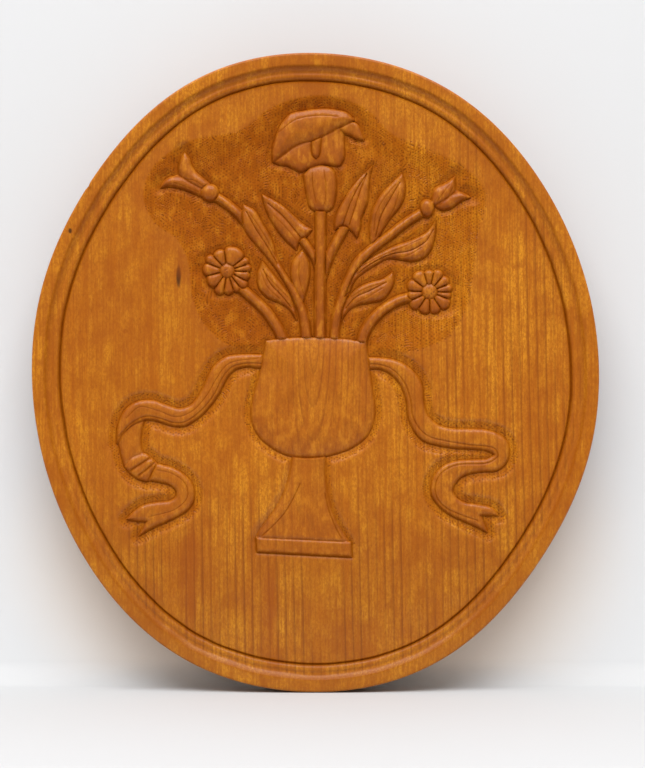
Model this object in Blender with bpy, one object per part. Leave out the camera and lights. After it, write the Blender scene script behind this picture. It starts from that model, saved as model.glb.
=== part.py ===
"""Oval wall plaque of varnished hardwood, carved in low relief in one board.

Inside a moulded rim stands a footed vase with a calla lily, two cup flowers, two daisies and
leaves, over a ribbon whose two ends fall in folds on the left and the right. The plaque stands
upright with its carved front towards -Y. Its origin is the middle of the flat back.
"""
import math

import bpy
import numpy as np
from mathutils import Vector
from mathutils.geometry import delaunay_2d_cdt

# Board, in metres
PLAQUE_WIDTH = 0.508
PLAQUE_HEIGHT = 0.571
THICKNESS = 0.025
EDGE_ROUND = 0.0022

# Rim moulding, from the outline inwards
RIM_WIDTH = 0.0112
COVE_WIDTH = 0.0066
COVE_DROP = 0.0034
BEAD_WIDTH = 0.0052
GROOVE_WIDTH = 0.0030
GROOVE_DEPTH = 0.0016
FIELD_DROP = 0.0046

# Carving: its height from the lily's top to the foot's underside, and its depths and walls
CARVING_HEIGHT = 0.401
RELIEF_DEPTH = 0.0046
DOME = 0.75
WALL = 0.0008

# Ground under the field: the wide hollow behind the bouquet, and the dish round each form
GROUND_DEPTH = 0.0024
GROUND_SLOPE = 0.024
BOUQUET_DISH = 0.0040
BOUQUET_REACH = 0.0125
RIBBON_DISH = 0.0028
RIBBON_REACH = 0.0110
BOWL_DISH = 0.0026
BOWL_REACH = 0.0095
STEM_DISH = 0.0020
STEM_REACH = 0.0075
FOOT_DISH = 0.0012
FOOT_REACH = 0.0040

# The sawn outline's unevenness: waves round the board, with their cosine and sine shares
OUTLINE_WAVES = ((1, -0.0062, 0.0016), (2, -0.0043, 0.0021), (3, 0.0025, 0.0), (4, 0.0025, 0.0),
                 (6, 0.0032, -0.0025), (8, -0.0018, 0.0))

# The carving is laid out on a squared sheet: columns run right and rows run down
SHEET_TOP = 108
SHEET_BOTTOM = 557
SHEET_CENTRE = (316.5, 373.0)
SQUARE = CARVING_HEIGHT / (SHEET_BOTTOM - SHEET_TOP)

# Petals: how much their lengths differ, and where the notches between them end
PETAL_SPREAD = 0.05
PETAL_NOTCH = 0.80

# Facets: how far they may stand off a curve, and how long they may be
RIM_FACETS = 96
CURVE_TOLERANCE = 0.00042
ROW_TOLERANCE = 0.0008
FINE_TOLERANCE = 0.00004
LOOK_SPACING = 0.0012
LONGEST_EDGE = 0.016
SHORTEST_EDGE = 0.00045
CURVE_STEPS = 14
FAN_ANGLE = math.radians(40)
BATCH = 4096

FIELD_LEVEL = THICKNESS - FIELD_DROP


def on_plaque(points):
    """Squared-sheet points as metres right of and above the plaque's centre."""
    sheet = np.array(points, dtype=float)
    return np.column_stack(((sheet[:, 0] - SHEET_CENTRE[0]) * SQUARE,
                            (SHEET_CENTRE[1] - sheet[:, 1]) * SQUARE))


# Curves

def through(points):
    """Smooth centripetal curve through all the points. A pair of points stays straight."""
    points = np.asarray(points, dtype=float)
    if len(points) < 3:
        return points
    knots = np.vstack((2 * points[0] - points[1], points, 2 * points[-1] - points[-2]))
    pieces = []
    for i in range(1, len(knots) - 2):
        a, b, c, d = knots[i - 1:i + 3]
        ta = 0.0
        tb = ta + math.sqrt(np.linalg.norm(b - a))
        tc = tb + math.sqrt(np.linalg.norm(c - b))
        td = tc + math.sqrt(np.linalg.norm(d - c))
        t = np.linspace(tb, tc, CURVE_STEPS, endpoint=False)[:, None]
        ab = (tb - t) / (tb - ta) * a + (t - ta) / (tb - ta) * b
        bc = (tc - t) / (tc - tb) * b + (t - tb) / (tc - tb) * c
        cd = (td - t) / (td - tc) * c + (t - tc) / (td - tc) * d
        abc = (tc - t) / (tc - ta) * ab + (t - ta) / (tc - ta) * bc
        bcd = (td - t) / (td - tb) * bc + (t - tb) / (td - tb) * cd
        pieces.append((tc - t) / (tc - tb) * abc + (t - tb) / (tc - tb) * bcd)
    pieces.append(points[-1:])
    return np.vstack(pieces)


def units(vectors):
    """The vectors at unit length."""
    return vectors / np.maximum(np.linalg.norm(vectors, axis=1), 1e-12)[:, None]


def left_of(vectors):
    """The vectors turned a quarter turn to the left."""
    return np.column_stack((-vectors[:, 1], vectors[:, 0]))


def normals(line, closed=False):
    """Unit vectors to the left of a line's direction."""
    steps = units(np.roll(line, -1, axis=0) - line)
    before = np.roll(steps, 1, axis=0)
    if not closed:
        steps[-1] = steps[-2]
        before[0] = steps[0]
    return left_of(units(steps + before))


def beside(loop, distance):
    """Loop outside a counter-clockwise one, fanned out around its sharp corners."""
    steps = units(np.roll(loop, -1, axis=0) - loop)
    before = np.roll(steps, 1, axis=0)
    turn = before[:, 0] * steps[:, 1] - before[:, 1] * steps[:, 0]
    straight = np.einsum("ij,ij->i", before, steps)
    corner = (turn > 0) & (straight < math.cos(FAN_ANGLE))
    line = []
    for point, first, last, fan in zip(loop, -left_of(before), -left_of(steps), corner):
        middle = first + last
        if np.linalg.norm(middle) < 1e-6:
            middle = np.array((-first[1], first[0]))
        middle = middle / np.linalg.norm(middle)
        spread = (first, middle, last) if fan else (middle,)
        line += [point + direction * distance for direction in spread]
    return np.array(line)


def resampled(line, spacing):
    """A line's own points with more put between them, no further apart than the spacing."""
    result = [line[:1]]
    for a, b in zip(line[:-1], line[1:]):
        count = max(1, math.ceil(np.linalg.norm(b - a) / spacing))
        result.append(a + (b - a) * (np.arange(1, count + 1) / count)[:, None])
    return np.vstack(result)


def thinned(line, tolerance, longest=math.inf):
    """A line with the fewest points that keep it within the tolerance."""
    keep = [0, len(line) - 1]
    stack = [(0, len(line) - 1)]
    while stack:
        start, end = stack.pop()
        if end - start < 2:
            continue
        chord = line[end] - line[start]
        length = np.linalg.norm(chord)
        between = line[start + 1:end] - line[start]
        if length > 1e-9:
            off = np.abs(between[:, 0] * chord[1] - between[:, 1] * chord[0]) / length
        else:
            off = np.linalg.norm(between, axis=1)
        worst = int(np.argmax(off))
        if off[worst] > tolerance:
            middle = start + 1 + worst
        elif length > longest:
            middle = (start + end) // 2
        else:
            continue
        keep.append(middle)
        stack.append((start, middle))
        stack.append((middle, end))
    return line[sorted(set(keep))]


def stretches(line, keep, tolerance):
    """The kept stretches of a line, each with few points."""
    found = []
    run = []
    for point, kept in zip(line, keep):
        if kept:
            run.append(point)
        elif run:
            found.append(run)
            run = []
    if run:
        found.append(run)
    return [thinned(np.array(run), tolerance, LONGEST_EDGE) for run in found]


def curves(*runs):
    """Closed outline from runs of sheet points, each smooth, meeting at corners."""
    lines = []
    for i, run in enumerate(runs):
        following = runs[(i + 1) % len(runs)]
        lines.append(through(on_plaque(list(run) + [following[0]])))
    return lines


# Measures

def distance_to_line(points, line):
    """Distance of each point to an open line."""
    starts = line[:-1]
    edges = line[1:] - starts
    lengths = np.maximum(np.einsum("ij,ij->i", edges, edges), 1e-18)
    away = np.empty(len(points))
    for first in range(0, len(points), BATCH):
        offsets = points[first:first + BATCH, None] - starts
        shares = np.clip(np.einsum("ijk,jk->ij", offsets, edges) / lengths, 0.0, 1.0)
        gaps = offsets - shares[..., None] * edges
        away[first:first + BATCH] = np.einsum("ijk,ijk->ij", gaps, gaps).min(axis=1)
    return np.sqrt(away)


def inside(points, loop):
    """Whether each point lies in a closed loop."""
    result = np.zeros(len(points), dtype=bool)
    x, z = points[:, 0], points[:, 1]
    for a, b in zip(loop, np.roll(loop, -1, axis=0)):
        if a[1] == b[1]:
            continue
        crosses = (a[1] > z) != (b[1] > z)
        at = (b[0] - a[0]) * (z - a[1]) / (b[1] - a[1]) + a[0]
        result ^= crosses & (x < at)
    return result


def signed_distance(points, loop):
    """Distance to a closed loop, positive inside it."""
    away = distance_to_line(points, np.vstack((loop, loop[:1])))
    return np.where(inside(points, loop), away, -away)


def counter_clockwise(loop):
    """The loop, turned round where it runs clockwise."""
    ahead = np.roll(loop, -1, axis=0)
    twice_area = np.sum(loop[:, 0] * ahead[:, 1] - loop[:, 1] * ahead[:, 0])
    return loop if twice_area > 0 else loop[::-1]


def ease(share):
    """Smooth step from 0 to 1."""
    share = np.clip(share, 0.0, 1.0)
    return share * share * (3 - 2 * share)


# Carved forms: lengths over the sheet are in squares, heights are shares of the relief depth

class Form:
    """One carved form: a closed outline and the surface that stands within it."""

    def __init__(self, pieces, level, crown=0.0, roll=3.4, lean=(0.0, 0.0), ribs=(), rows=(),
                 dish=BOUQUET_DISH, reach=BOUQUET_REACH, parted=False):
        self.pieces = pieces
        fine = [thinned(piece, FINE_TOLERANCE)[:-1] for piece in pieces]
        self.outline = counter_clockwise(np.vstack(fine))
        self.centre = (self.outline.min(axis=0) + self.outline.max(axis=0)) / 2
        self.level = level * RELIEF_DEPTH
        self.crown = crown * RELIEF_DEPTH
        self.roll = roll * SQUARE
        self.lean = np.array(lean)
        self.ribs = ribs
        self.rows = rows
        self.dish = dish
        self.reach = reach
        self.parted = parted
        self.over = []

    def depth_in(self, points, margin):
        """Signed distance to the outline, with points past the margin set far outside."""
        low = self.outline.min(axis=0) - margin
        high = self.outline.max(axis=0) + margin
        near = ((points >= low) & (points <= high)).all(axis=1)
        depth = np.full(len(points), -math.inf)
        if near.any():
            depth[near] = signed_distance(points[near], self.outline)
        return depth

    def surface(self, points, depth):
        """Height of the form's own surface over the field."""
        if self.parted:
            for line, _, _ in self.ribs:
                depth = np.minimum(depth, distance_to_line(points, line))
        rise = np.clip(depth / self.roll, 0.0, 1.0)
        height = self.level + self.crown * (1 - (1 - rise) ** 2) ** DOME
        height += (points - self.centre) @ self.lean
        for line, cut, width in self.ribs:
            height -= cut * np.clip(1 - distance_to_line(points, line) / width, 0.0, 1.0)
        return height


def knife_line(points, cut=0.15, width=1.0):
    """A knife line within a form: its route, its depth and its half width."""
    return through(on_plaque(points)), cut * RELIEF_DEPTH, width * SQUARE


def stalk(points, width, end_width=None, **shape):
    """A round stem along a smooth centreline."""
    centre = through(on_plaque(points))
    end_width = width if end_width is None else end_width
    half = np.linspace(width, end_width, len(centre))[:, None] * SQUARE / 2
    side = normals(centre)
    left = centre + side * half
    right = (centre - side * half)[::-1]
    caps = [np.vstack((left[-1:], right[:1])), np.vstack((right[-1:], left[:1]))]
    return Form([left, caps[0], right, caps[1]], roll=min(width, end_width) / 2, rows=(centre,),
                **shape)


def boss(centre, across, up, facets=18, **shape):
    """An oval boss."""
    turn = np.linspace(0.0, 2 * math.pi, facets + 1)
    middle = on_plaque([centre])
    ring = middle + np.column_stack((np.cos(turn) * across, np.sin(turn) * up)) * SQUARE
    return Form([ring], roll=min(across, up), rows=(middle,), **shape)


def daisy(centre, disc, radius, gaps, level):
    """Petals around a domed disc, parted by cuts at the angles of the gaps, in degrees."""
    def at(angle, length):
        turn = math.radians(angle)
        return (centre[0] + length * math.cos(turn), centre[1] - length * math.sin(turn))

    notch = radius * PETAL_NOTCH
    scallops = []
    cuts = []
    for i, start in enumerate(gaps):
        end = gaps[(i + 1) % len(gaps)]
        span = (end - start) % 360
        reach = radius * (1 + PETAL_SPREAD * math.sin(2.3 * i))
        scallops.append([at(start, notch), at(start + span * 0.12, reach * 0.93),
                         at(start + span * 0.5, reach), at(start + span * 0.88, reach * 0.93)])
        cuts.append(knife_line([at(start, disc * 0.9), at(start, notch)], 0.26, 1.1))
    petals = Form(curves(*scallops), level=level, crown=0.44, roll=5.2, ribs=cuts, parted=True)
    return [petals, boss(centre, disc, disc, facets=12, level=level - 0.04, crown=0.44)]


def lily():
    """Calla lily: its tube, the open face, the spadix, the curled tip and the hood."""
    tube = Form(curves([(304, 174), (304.5, 182), (306.5, 192), (308, 200), (310, 206.5),
                        (315, 209.8), (322, 210.5), (329, 209.8), (333, 206), (335.3, 196),
                        (336, 185), (335, 175), (331, 167.5), (321, 164.5), (310, 167.5)]),
                level=-0.58, crown=0.70, roll=13.5)
    face = Form(curves([(273, 161), (279, 163.5), (287, 164.5), (294, 168), (301, 170.5),
                        (309, 167), (320, 163.5), (331, 164), (338, 165)],
                       [(341, 163.5), (344, 157), (344.5, 148), (344, 138), (345, 130)],
                       [(354, 117), (330, 122), (300, 135)]),
                level=-0.66, crown=0.52, roll=12, lean=(0.0, -0.030))
    spadix = Form(curves([(311.5, 130), (311.3, 148), (312.5, 155)],
                         [(316, 158.5), (319.3, 155), (320.5, 147), (320.5, 130)]),
                  level=-0.35, crown=0.57, roll=4.3)
    curl = Form(curves([(340, 128), (345, 123.5), (352, 121), (358, 124), (361, 130)],
                       [(364, 139), (356, 137.5), (350, 134), (346.5, 133)]),
                level=-0.39, crown=0.26, roll=4.5)
    hood = Form(curves([(354, 119), (346, 123.5), (338, 127), (330, 132), (322, 136),
                        (313, 140), (303, 142.5), (295, 145.5), (288, 150), (281, 155)],
                       [(273, 161), (272, 152), (275, 138), (281, 124), (290, 113.5),
                        (304, 110), (321, 108), (336, 109), (347, 112)]),
                level=-0.30, crown=0.78, roll=15, lean=(0.0, 0.012))
    return [tube, face, spadix, curl, hood]


def left_cup_flower():
    """Cup flower on the left, and the boss under its cup."""
    cup = Form(curves([(203, 197), (196, 193.5), (189, 190.5), (182, 188), (174, 186),
                       (166, 185.5)],
                      [(160, 187), (163, 181), (168, 177), (174, 175.5)],
                      [(178, 174), (178, 167), (180, 159)],
                      [(184, 152), (189, 158), (191, 165), (195, 171), (202, 177)],
                      [(209, 183)]),
               level=-0.56, crown=0.62, roll=8.4,
               ribs=(knife_line([(179, 175), (190, 182), (201, 188)], 0.13, 1.8),))
    return [cup, boss((209.5, 192), 8.5, 8.6, level=-0.44, crown=0.72)]


def right_cup_flower():
    """Cup flower on the right, and the boss under its cup."""
    cup = Form(curves([(432, 203), (433, 195), (434.5, 189), (438, 186), (446, 182.5)],
                      [(455.5, 176), (455.5, 183)],
                      [(456, 190), (463, 192)],
                      [(471, 196.5), (463, 199.5), (457, 203.5), (450, 208), (441, 209)]),
               level=-0.56, crown=0.70, roll=8.4,
               ribs=(knife_line([(456, 191), (447, 198), (437, 204)], 0.13, 1.8),))
    return [cup, boss((427.5, 207.5), 6.8, 8.8, level=-0.44, crown=0.72)]


def right_back_leaves():
    """Arrowhead leaf and plain leaf behind the right stems."""
    arrowhead = Form(curves([(335, 229), (335, 221), (338, 211), (344, 200), (350, 190),
                             (358, 180)],
                            [(372, 166), (369.5, 178), (368.5, 190), (368, 199), (365, 208),
                             (361, 218), (360, 228)],
                            [(357, 237), (352, 230.5), (346, 226), (340, 226)]),
                     level=-0.56, crown=0.54, roll=8.4,
                     ribs=(knife_line([(343, 224), (350, 204), (358, 187), (367, 173)]),
                           knife_line([(349.5, 224), (356, 204), (361, 188), (367, 173)])))
    plain = Form(curves([(372, 246), (370, 235), (371, 220), (374, 207), (383, 192),
                         (393, 182)],
                        [(402.5, 173), (405, 184), (404.5, 195), (400, 206), (391, 217),
                         (383, 229), (377, 240)]),
                 level=-0.56, crown=0.58, roll=8.8,
                 ribs=(knife_line([(376, 236), (381, 216), (390, 199), (400, 182)]),))
    return [arrowhead, plain]


def right_front_leaves():
    """The two curling leaves on the lower right."""
    upper = Form(curves([(345, 296), (349, 285), (356, 271), (367, 261), (382, 252),
                         (397, 245), (414, 239), (427, 232)],
                        [(436, 221), (435, 236), (431, 249), (424, 257), (413, 260.5),
                         (399, 258.5), (388, 258), (378, 263), (364, 272), (355, 280),
                         (349, 292)]),
                 level=-0.55, crown=0.60, roll=8.0, lean=(0.0, 0.030),
                 ribs=(knife_line([(358, 273), (372, 263), (391, 254), (411, 250), (426, 241),
                                   (434, 229)]),))
    lower = Form(curves([(341, 321), (343, 308), (349, 297), (358, 288), (370, 282.5),
                         (383, 279)],
                        [(393, 272), (394, 282), (390, 291), (383, 299), (371, 302),
                         (358, 304.5), (348, 311)]),
                 level=-0.55, crown=0.60, roll=8.0, lean=(0.0, 0.030),
                 ribs=(knife_line([(346, 308), (356, 297), (371, 290), (386, 282)]),))
    return [upper, lower]


def left_back_leaves():
    """Arrowhead leaf and hanging bud beside the middle stem."""
    arrowhead = Form(curves([(262, 194), (265, 206), (270, 218), (277, 229), (286, 240)],
                            [(296.5, 249.5), (298, 243)],
                            [(301, 238), (306, 236)],
                            [(312, 229), (303, 224), (293, 215), (283, 206), (272, 199)]),
                     level=-0.60, crown=0.50, roll=7.6,
                     ribs=(knife_line([(268, 203), (283, 216), (300, 236)], 0.17, 1.35),))
    bud = Form(curves([(302, 305), (296, 294), (292, 282), (291, 269), (295, 258)],
                      [(302, 250), (308, 259), (309.5, 273), (307, 288)]),
               level=-0.60, crown=0.54, roll=7.6)
    return [arrowhead, bud]


def left_front_leaves():
    """Long leaf that runs down into its own stem, and the leaf below it."""
    long = Form(curves([(302, 345), (299, 315), (291, 294), (279, 273), (268, 258),
                        (257, 245), (247, 233), (242, 221)],
                       [(243, 204), (254, 210), (262, 223), (271, 239), (276, 256),
                        (285, 273), (296, 290), (304, 305), (309, 322)],
                       [(312, 345)]),
                level=-0.54, crown=0.60, roll=8.4, lean=(0.020, 0.0),
                ribs=(knife_line([(246, 211), (256, 229), (267, 246), (277, 263)]),))
    low = Form(curves([(297, 320), (289, 309), (279, 302), (267, 297), (259, 288),
                       (257, 276)],
                      [(262, 261), (270, 271), (281, 284), (289, 295), (294, 307)]),
               level=-0.57, crown=0.62, roll=7.6,
               ribs=(knife_line([(263, 269), (270, 283), (281, 295), (291, 307)]),))
    return [long, low]


def bouquet():
    """Flowers, stems and leaves, back to front."""
    stems = {"level": -0.60, "crown": 0.68}
    return [
        stalk([(296, 231), (307, 246), (315, 258), (320, 272)], 7.5, **stems),
        stalk([(347, 222), (338, 239), (331, 252), (326, 264), (321, 280)], 9, **stems),
        stalk([(320.5, 207), (320.5, 250), (320, 290), (320, 345)], 10, 11, **stems),
        *lily(),
        *right_back_leaves(),
        *left_back_leaves(),
        stalk([(213, 195), (222, 200), (230, 206), (238, 213), (247, 224)], 8.5, **stems),
        *left_cup_flower(),
        *left_front_leaves(),
        stalk([(424, 211), (412, 218), (402, 225), (391, 234), (379, 243), (368, 252),
               (358, 262), (351, 275), (345, 290), (340, 305), (336, 322), (334, 345)],
              8, 9, **stems),
        *right_cup_flower(),
        *right_front_leaves(),
        stalk([(424, 293), (410, 297), (399, 300), (388, 306), (379, 313), (371, 322),
               (364, 334), (361, 346)], 8.5, 10, **stems),
        *daisy((430, 291.5), 7.6, 23.0,
               (22, 50, 78, 106, 143, 178, 205, 237, 271, 304, 339, 359), level=-0.60),
        stalk([(237, 284), (248, 294), (257, 302), (265, 310), (273, 321), (279, 331),
               (285, 346)], 9, 10, **stems),
        *daisy((226.8, 270.5), 7.2, 24.0,
               (18, 38, 98, 133, 159, 194, 235, 261, 288, 308, 332, 358), level=-0.48),
    ]


def left_ribbon():
    """The ribbon's left end: the band, its fall behind the fold, the knuckle and the tail."""
    ground = {"dish": RIBBON_DISH, "reach": RIBBON_REACH}
    shape = {"level": -0.36, "crown": 0.38, "roll": 5.4, **ground}
    fall = Form(curves([(143, 421), (141, 432), (140, 442), (141, 450)],
                       [(144, 457), (134, 464)],
                       [(124, 467), (121, 458), (119, 449), (117, 440), (119, 425)]),
                level=-0.46, crown=0.26, roll=5.0, **ground)
    tail = Form(curves([(150, 463), (162, 465.5), (172, 468.5), (181, 473.5), (189, 481),
                        (193.5, 490), (193, 501), (187, 510.5), (176, 517.5), (162, 524),
                        (149, 530)],
                       [(138, 536.5), (142, 529)],
                       [(146, 522), (138, 522)],
                       [(126, 519.5), (134, 511.5), (144, 505.5), (157, 503), (168, 502),
                        (175, 498), (175.5, 491), (168, 485), (157, 482)],
                       [(147, 481), (146, 471)]),
                **shape)
    knuckle = Form(curves([(124, 467), (130, 459), (137, 455.5), (144, 454), (151, 459)],
                          [(156, 464), (152, 472), (148, 480)],
                          [(146, 482), (137, 479), (130, 474)]),
                   level=-0.33, crown=0.37, roll=5.6, **ground,
                   ribs=(knife_line([(130, 471), (139, 465), (150, 458)], 0.30, 2.0),
                         knife_line([(138, 476), (146, 470), (154, 463)], 0.30, 2.0)))
    band = Form(curves([(262, 355), (248, 354.5), (237, 355), (227, 356.5), (218, 362),
                        (211, 370), (205, 383), (199, 395), (190, 405.5), (179, 409),
                        (166, 405.5), (153, 401), (141, 401), (130, 405.5), (121.5, 415),
                        (117, 428)],
                       [(116, 444), (123, 434), (134, 424.5), (146, 420), (158, 421.5),
                        (172, 426), (184, 426), (196, 419.5), (209, 407), (219, 393),
                        (226, 379), (234, 370), (246, 366.5), (262, 367)]),
                ribs=(knife_line([(118, 437), (130, 424), (145, 416.5), (158, 418),
                                  (172, 422.5), (183, 422.5), (193, 417), (206, 405),
                                  (215, 392), (222, 378), (231, 367.5), (244, 363.5),
                                  (262, 363.5)], 0.15, 1.25),),
                **shape)
    return [fall, tail, knuckle, band]


def right_ribbon():
    """The ribbon's right end: one band that runs out, turns back and ends in the tail."""
    ribbon = Form(curves([(364, 357.5), (380, 358), (394, 360), (407, 366), (417, 375.5),
                          (423, 388), (424, 402), (428, 415.5), (438, 425), (452, 429),
                          (468, 429.5), (484, 430), (498, 434), (507, 441), (510, 451),
                          (507, 463), (498, 470.5), (482, 472), (468, 474.5), (458, 481),
                          (453.5, 490), (457, 498.5), (466, 503.5), (480, 505.5), (493, 509)],
                         [(499, 516), (490, 516)],
                         [(481, 516), (485, 524)],
                         [(488, 533), (477, 527.5), (464, 521.5), (450, 515), (439, 506),
                          (432, 495), (432, 483), (437, 473), (446, 465.5), (458, 461.5),
                          (474, 460.5), (488, 459.5), (494.5, 455), (486, 450.5),
                          (470, 449), (454, 448), (438, 445.5), (424, 441), (414, 430),
                          (408.5, 416), (407, 402), (402, 387), (393, 375.5), (381, 369),
                          (364, 367.5)]),
                  level=-0.36, crown=0.38, roll=5.4, dish=RIBBON_DISH, reach=RIBBON_REACH,
                  ribs=(knife_line([(364, 364), (382, 365), (396, 372), (406, 385), (411, 401),
                                    (413, 416), (420, 429), (430, 437), (445, 441),
                                    (470, 445), (487, 446.5), (496, 449.5), (498.5, 456),
                                    (489, 463), (459, 465), (447, 469.5), (439, 477),
                                    (435.5, 487), (438, 499), (447, 508.5), (462, 515.5),
                                    (478, 521)], 0.15, 1.25),))
    return [ribbon]


def vase():
    """Stem, foot plate and bowl of the vase, back to front."""
    stem = Form(curves([(293, 452), (291, 468), (288, 481), (284, 493), (278, 505), (270, 517),
                        (258, 534)],
                       [(257, 541)], [(350, 546)],
                       [(348, 541), (339, 527), (332, 512), (327.5, 495), (325, 475),
                        (323, 452)]),
                level=-0.37, crown=0.50, roll=8.0, dish=STEM_DISH, reach=STEM_REACH,
                ribs=(knife_line([(300, 484), (293, 499), (284, 514), (272, 527), (262, 536)],
                                 0.13, 1.1),
                      knife_line([(325, 494), (329, 511), (335, 526), (341, 538)], 0.13, 1.1)))
    foot = Form(curves([(256, 538)], [(257, 552.5)], [(352, 557.5)], [(351, 542.5)]),
                level=-0.13, crown=0.30, roll=2.2, dish=FOOT_DISH, reach=FOOT_REACH)
    bowl = Form(curves([(266, 341), (264, 353), (261.5, 366), (257.5, 382), (253, 398),
                        (251, 413), (253, 426), (260, 438), (271, 447.5), (284, 454.5),
                        (297, 457.5), (310, 458), (323, 457), (338, 453.5), (353, 447.5),
                        (365, 438.5), (372.5, 426), (375, 411), (373, 394), (370, 374),
                        (368, 356)],
                       [(366, 342.5), (345, 339.5), (321, 338), (297, 338), (280, 339)]),
                level=-0.43, crown=0.80, roll=34, dish=BOWL_DISH, reach=BOWL_REACH)
    return [stem, foot, bowl]


def sunk_ground():
    """Border of the ground that is cut down behind the bouquet."""
    border = [(262, 352), (225, 343), (203, 322), (192, 296), (188, 262), (176, 238), (154, 222),
              (143, 195), (152, 168), (188, 141), (240, 130), (272, 107), (318, 95), (364, 107),
              (392, 133), (430, 149), (468, 169), (486, 192), (479, 232), (474, 272),
              (467, 308), (447, 338), (410, 352), (370, 354), (318, 358)]
    line = through(on_plaque(border + border[:1]))
    return counter_clockwise(thinned(line, FINE_TOLERANCE)[:-1])


class Carving:
    """All the forms, back to front, and the ground sunk around them."""

    def __init__(self):
        self.forms = bouquet() + left_ribbon() + right_ribbon() + vase()
        for i, form in enumerate(self.forms):
            form.over = self.forms[i + 1:]
        self.ground = sunk_ground()

    def hollow(self, points):
        """How far the ground lies under the field."""
        depth = GROUND_DEPTH * ease(signed_distance(points, self.ground) / GROUND_SLOPE)
        for form in self.forms:
            away = -form.depth_in(points, form.reach)
            depth = np.maximum(depth, form.dish * ease(1 - away / form.reach))
        return depth

    def height(self, points):
        """Height of the carved front over the back, within the rim."""
        relief = -self.hollow(points)
        for form in self.forms:
            depth = form.depth_in(points, WALL)
            near = depth > -WALL
            if near.any():
                stand = 1 + np.minimum(depth[near], 0.0) / WALL
                own = form.surface(points[near], np.maximum(depth[near], 0.0))
                relief[near] += stand * (own - relief[near])
        return FIELD_LEVEL + relief

    def lines(self):
        """Mesh lines: each form's edge, its foot, its inner rows and its knife lines."""
        found = self.ground_lines()
        for form in self.forms:
            for piece in form.pieces:
                found += self.visible(form, piece, 0.0)
            found += self.parallel(form, -WALL)
            found += self.parallel(form, -form.reach)
            for row in form.rows:
                found += self.visible(form, row, WALL)
            if not form.rows:
                found += self.parallel(form, 0.35 * form.roll)
                found += self.parallel(form, form.roll)
            for line, _, width in form.ribs:
                side = normals(line) * width
                for row in (line, line + side, line - side):
                    found += self.visible(form, row, WALL)
        return found

    def ground_lines(self):
        """The border of the sunk ground and its slope, where no form lies."""
        found = []
        for inset in (0.0, GROUND_SLOPE / 2, GROUND_SLOPE):
            line = resampled(beside(self.ground, -inset), LOOK_SPACING)
            clear = np.abs(signed_distance(line, self.ground) - inset) < ROW_TOLERANCE / 2
            for form in self.forms:
                clear &= form.depth_in(line, 2 * WALL) < -2 * WALL
            found += stretches(line, clear, ROW_TOLERANCE)
        return found

    def parallel(self, form, inset):
        """Stretches of line at one distance from a form's edge. Dishes end outside the hollow."""
        line = beside(form.outline, -inset)
        line = resampled(np.vstack((line, line[:1])), LOOK_SPACING)
        off = np.abs(signed_distance(line, form.outline) - inset)
        real = off < 0.15 * abs(inset) + FINE_TOLERANCE
        if inset < -WALL:
            real &= signed_distance(line, self.ground) < 0.0
        tolerance = CURVE_TOLERANCE if abs(inset) <= WALL else ROW_TOLERANCE
        return self.uncovered(form, line, real, tolerance)

    def visible(self, form, line, least_depth):
        """Stretches of a line that lie deep enough in their form and under no later one."""
        line = resampled(line, LOOK_SPACING)
        real = np.ones(len(line), dtype=bool)
        if least_depth > 0.0:
            real = form.depth_in(line, WALL) > least_depth
        return self.uncovered(form, line, real, CURVE_TOLERANCE)

    def uncovered(self, form, line, real, tolerance):
        """The real stretches of a line that no later form covers."""
        for other in form.over:
            real = real & (other.depth_in(line, WALL) < -WALL * 0.9)
        return stretches(line, real, tolerance)


# Board

def outline():
    """The sawn outline: an oval with the slight unevenness of work done by eye."""
    turn = np.linspace(0.0, 2 * math.pi, RIM_FACETS, endpoint=False)
    radius = 2 * np.hypot(np.cos(turn) / PLAQUE_WIDTH, np.sin(turn) / PLAQUE_HEIGHT)
    uneven = np.ones(RIM_FACETS)
    for waves, cosine, sine in OUTLINE_WAVES:
        uneven += cosine * np.cos(waves * turn) + sine * np.sin(waves * turn)
    radius = uneven / radius
    return np.column_stack((radius * np.cos(turn), radius * np.sin(turn)))


def rim_profile():
    """Moulding as insets from the outline and heights over the back, from the back inwards."""
    profile = [(0.0, 0.0), (0.0, THICKNESS - EDGE_ROUND)]
    for share in (0.5, 1.0):
        angle = share * math.pi / 2
        profile.append((EDGE_ROUND * (1 - math.cos(angle)),
                        THICKNESS - EDGE_ROUND * (1 - math.sin(angle))))
    profile.append((RIM_WIDTH, THICKNESS))
    for share in (0.25, 0.55, 1.0):
        profile.append((RIM_WIDTH + COVE_WIDTH * share,
                        THICKNESS - COVE_DROP * math.sin(share * math.pi / 2)))
    bead_end = RIM_WIDTH + COVE_WIDTH + BEAD_WIDTH
    profile.append((bead_end, THICKNESS - (COVE_DROP + FIELD_DROP) / 2))
    profile.append((bead_end + GROOVE_WIDTH / 2, FIELD_LEVEL - GROOVE_DEPTH))
    profile.append((bead_end + GROOVE_WIDTH, FIELD_LEVEL))
    return profile


def field_mesh(edge):
    """Carved field within the groove: points, heights, triangles and each point's sources."""
    carving = Carving()
    points = [Vector(point) for point in edge]
    links = [(i, (i + 1) % len(edge)) for i in range(len(edge))]
    for line in carving.lines():
        clear = signed_distance(line, edge) > 2 * WALL
        previous = None
        for point, keep in zip(line, clear):
            if not keep:
                previous = None
                continue
            points.append(Vector(point))
            if previous is not None:
                links.append((previous, len(points) - 1))
            previous = len(points) - 1
    found, _, triangles, sources, _, _ = delaunay_2d_cdt(points, links, [], 0, SHORTEST_EDGE)
    flat = np.array([tuple(point) for point in found])
    return flat, carving.height(flat), triangles, sources


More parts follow.
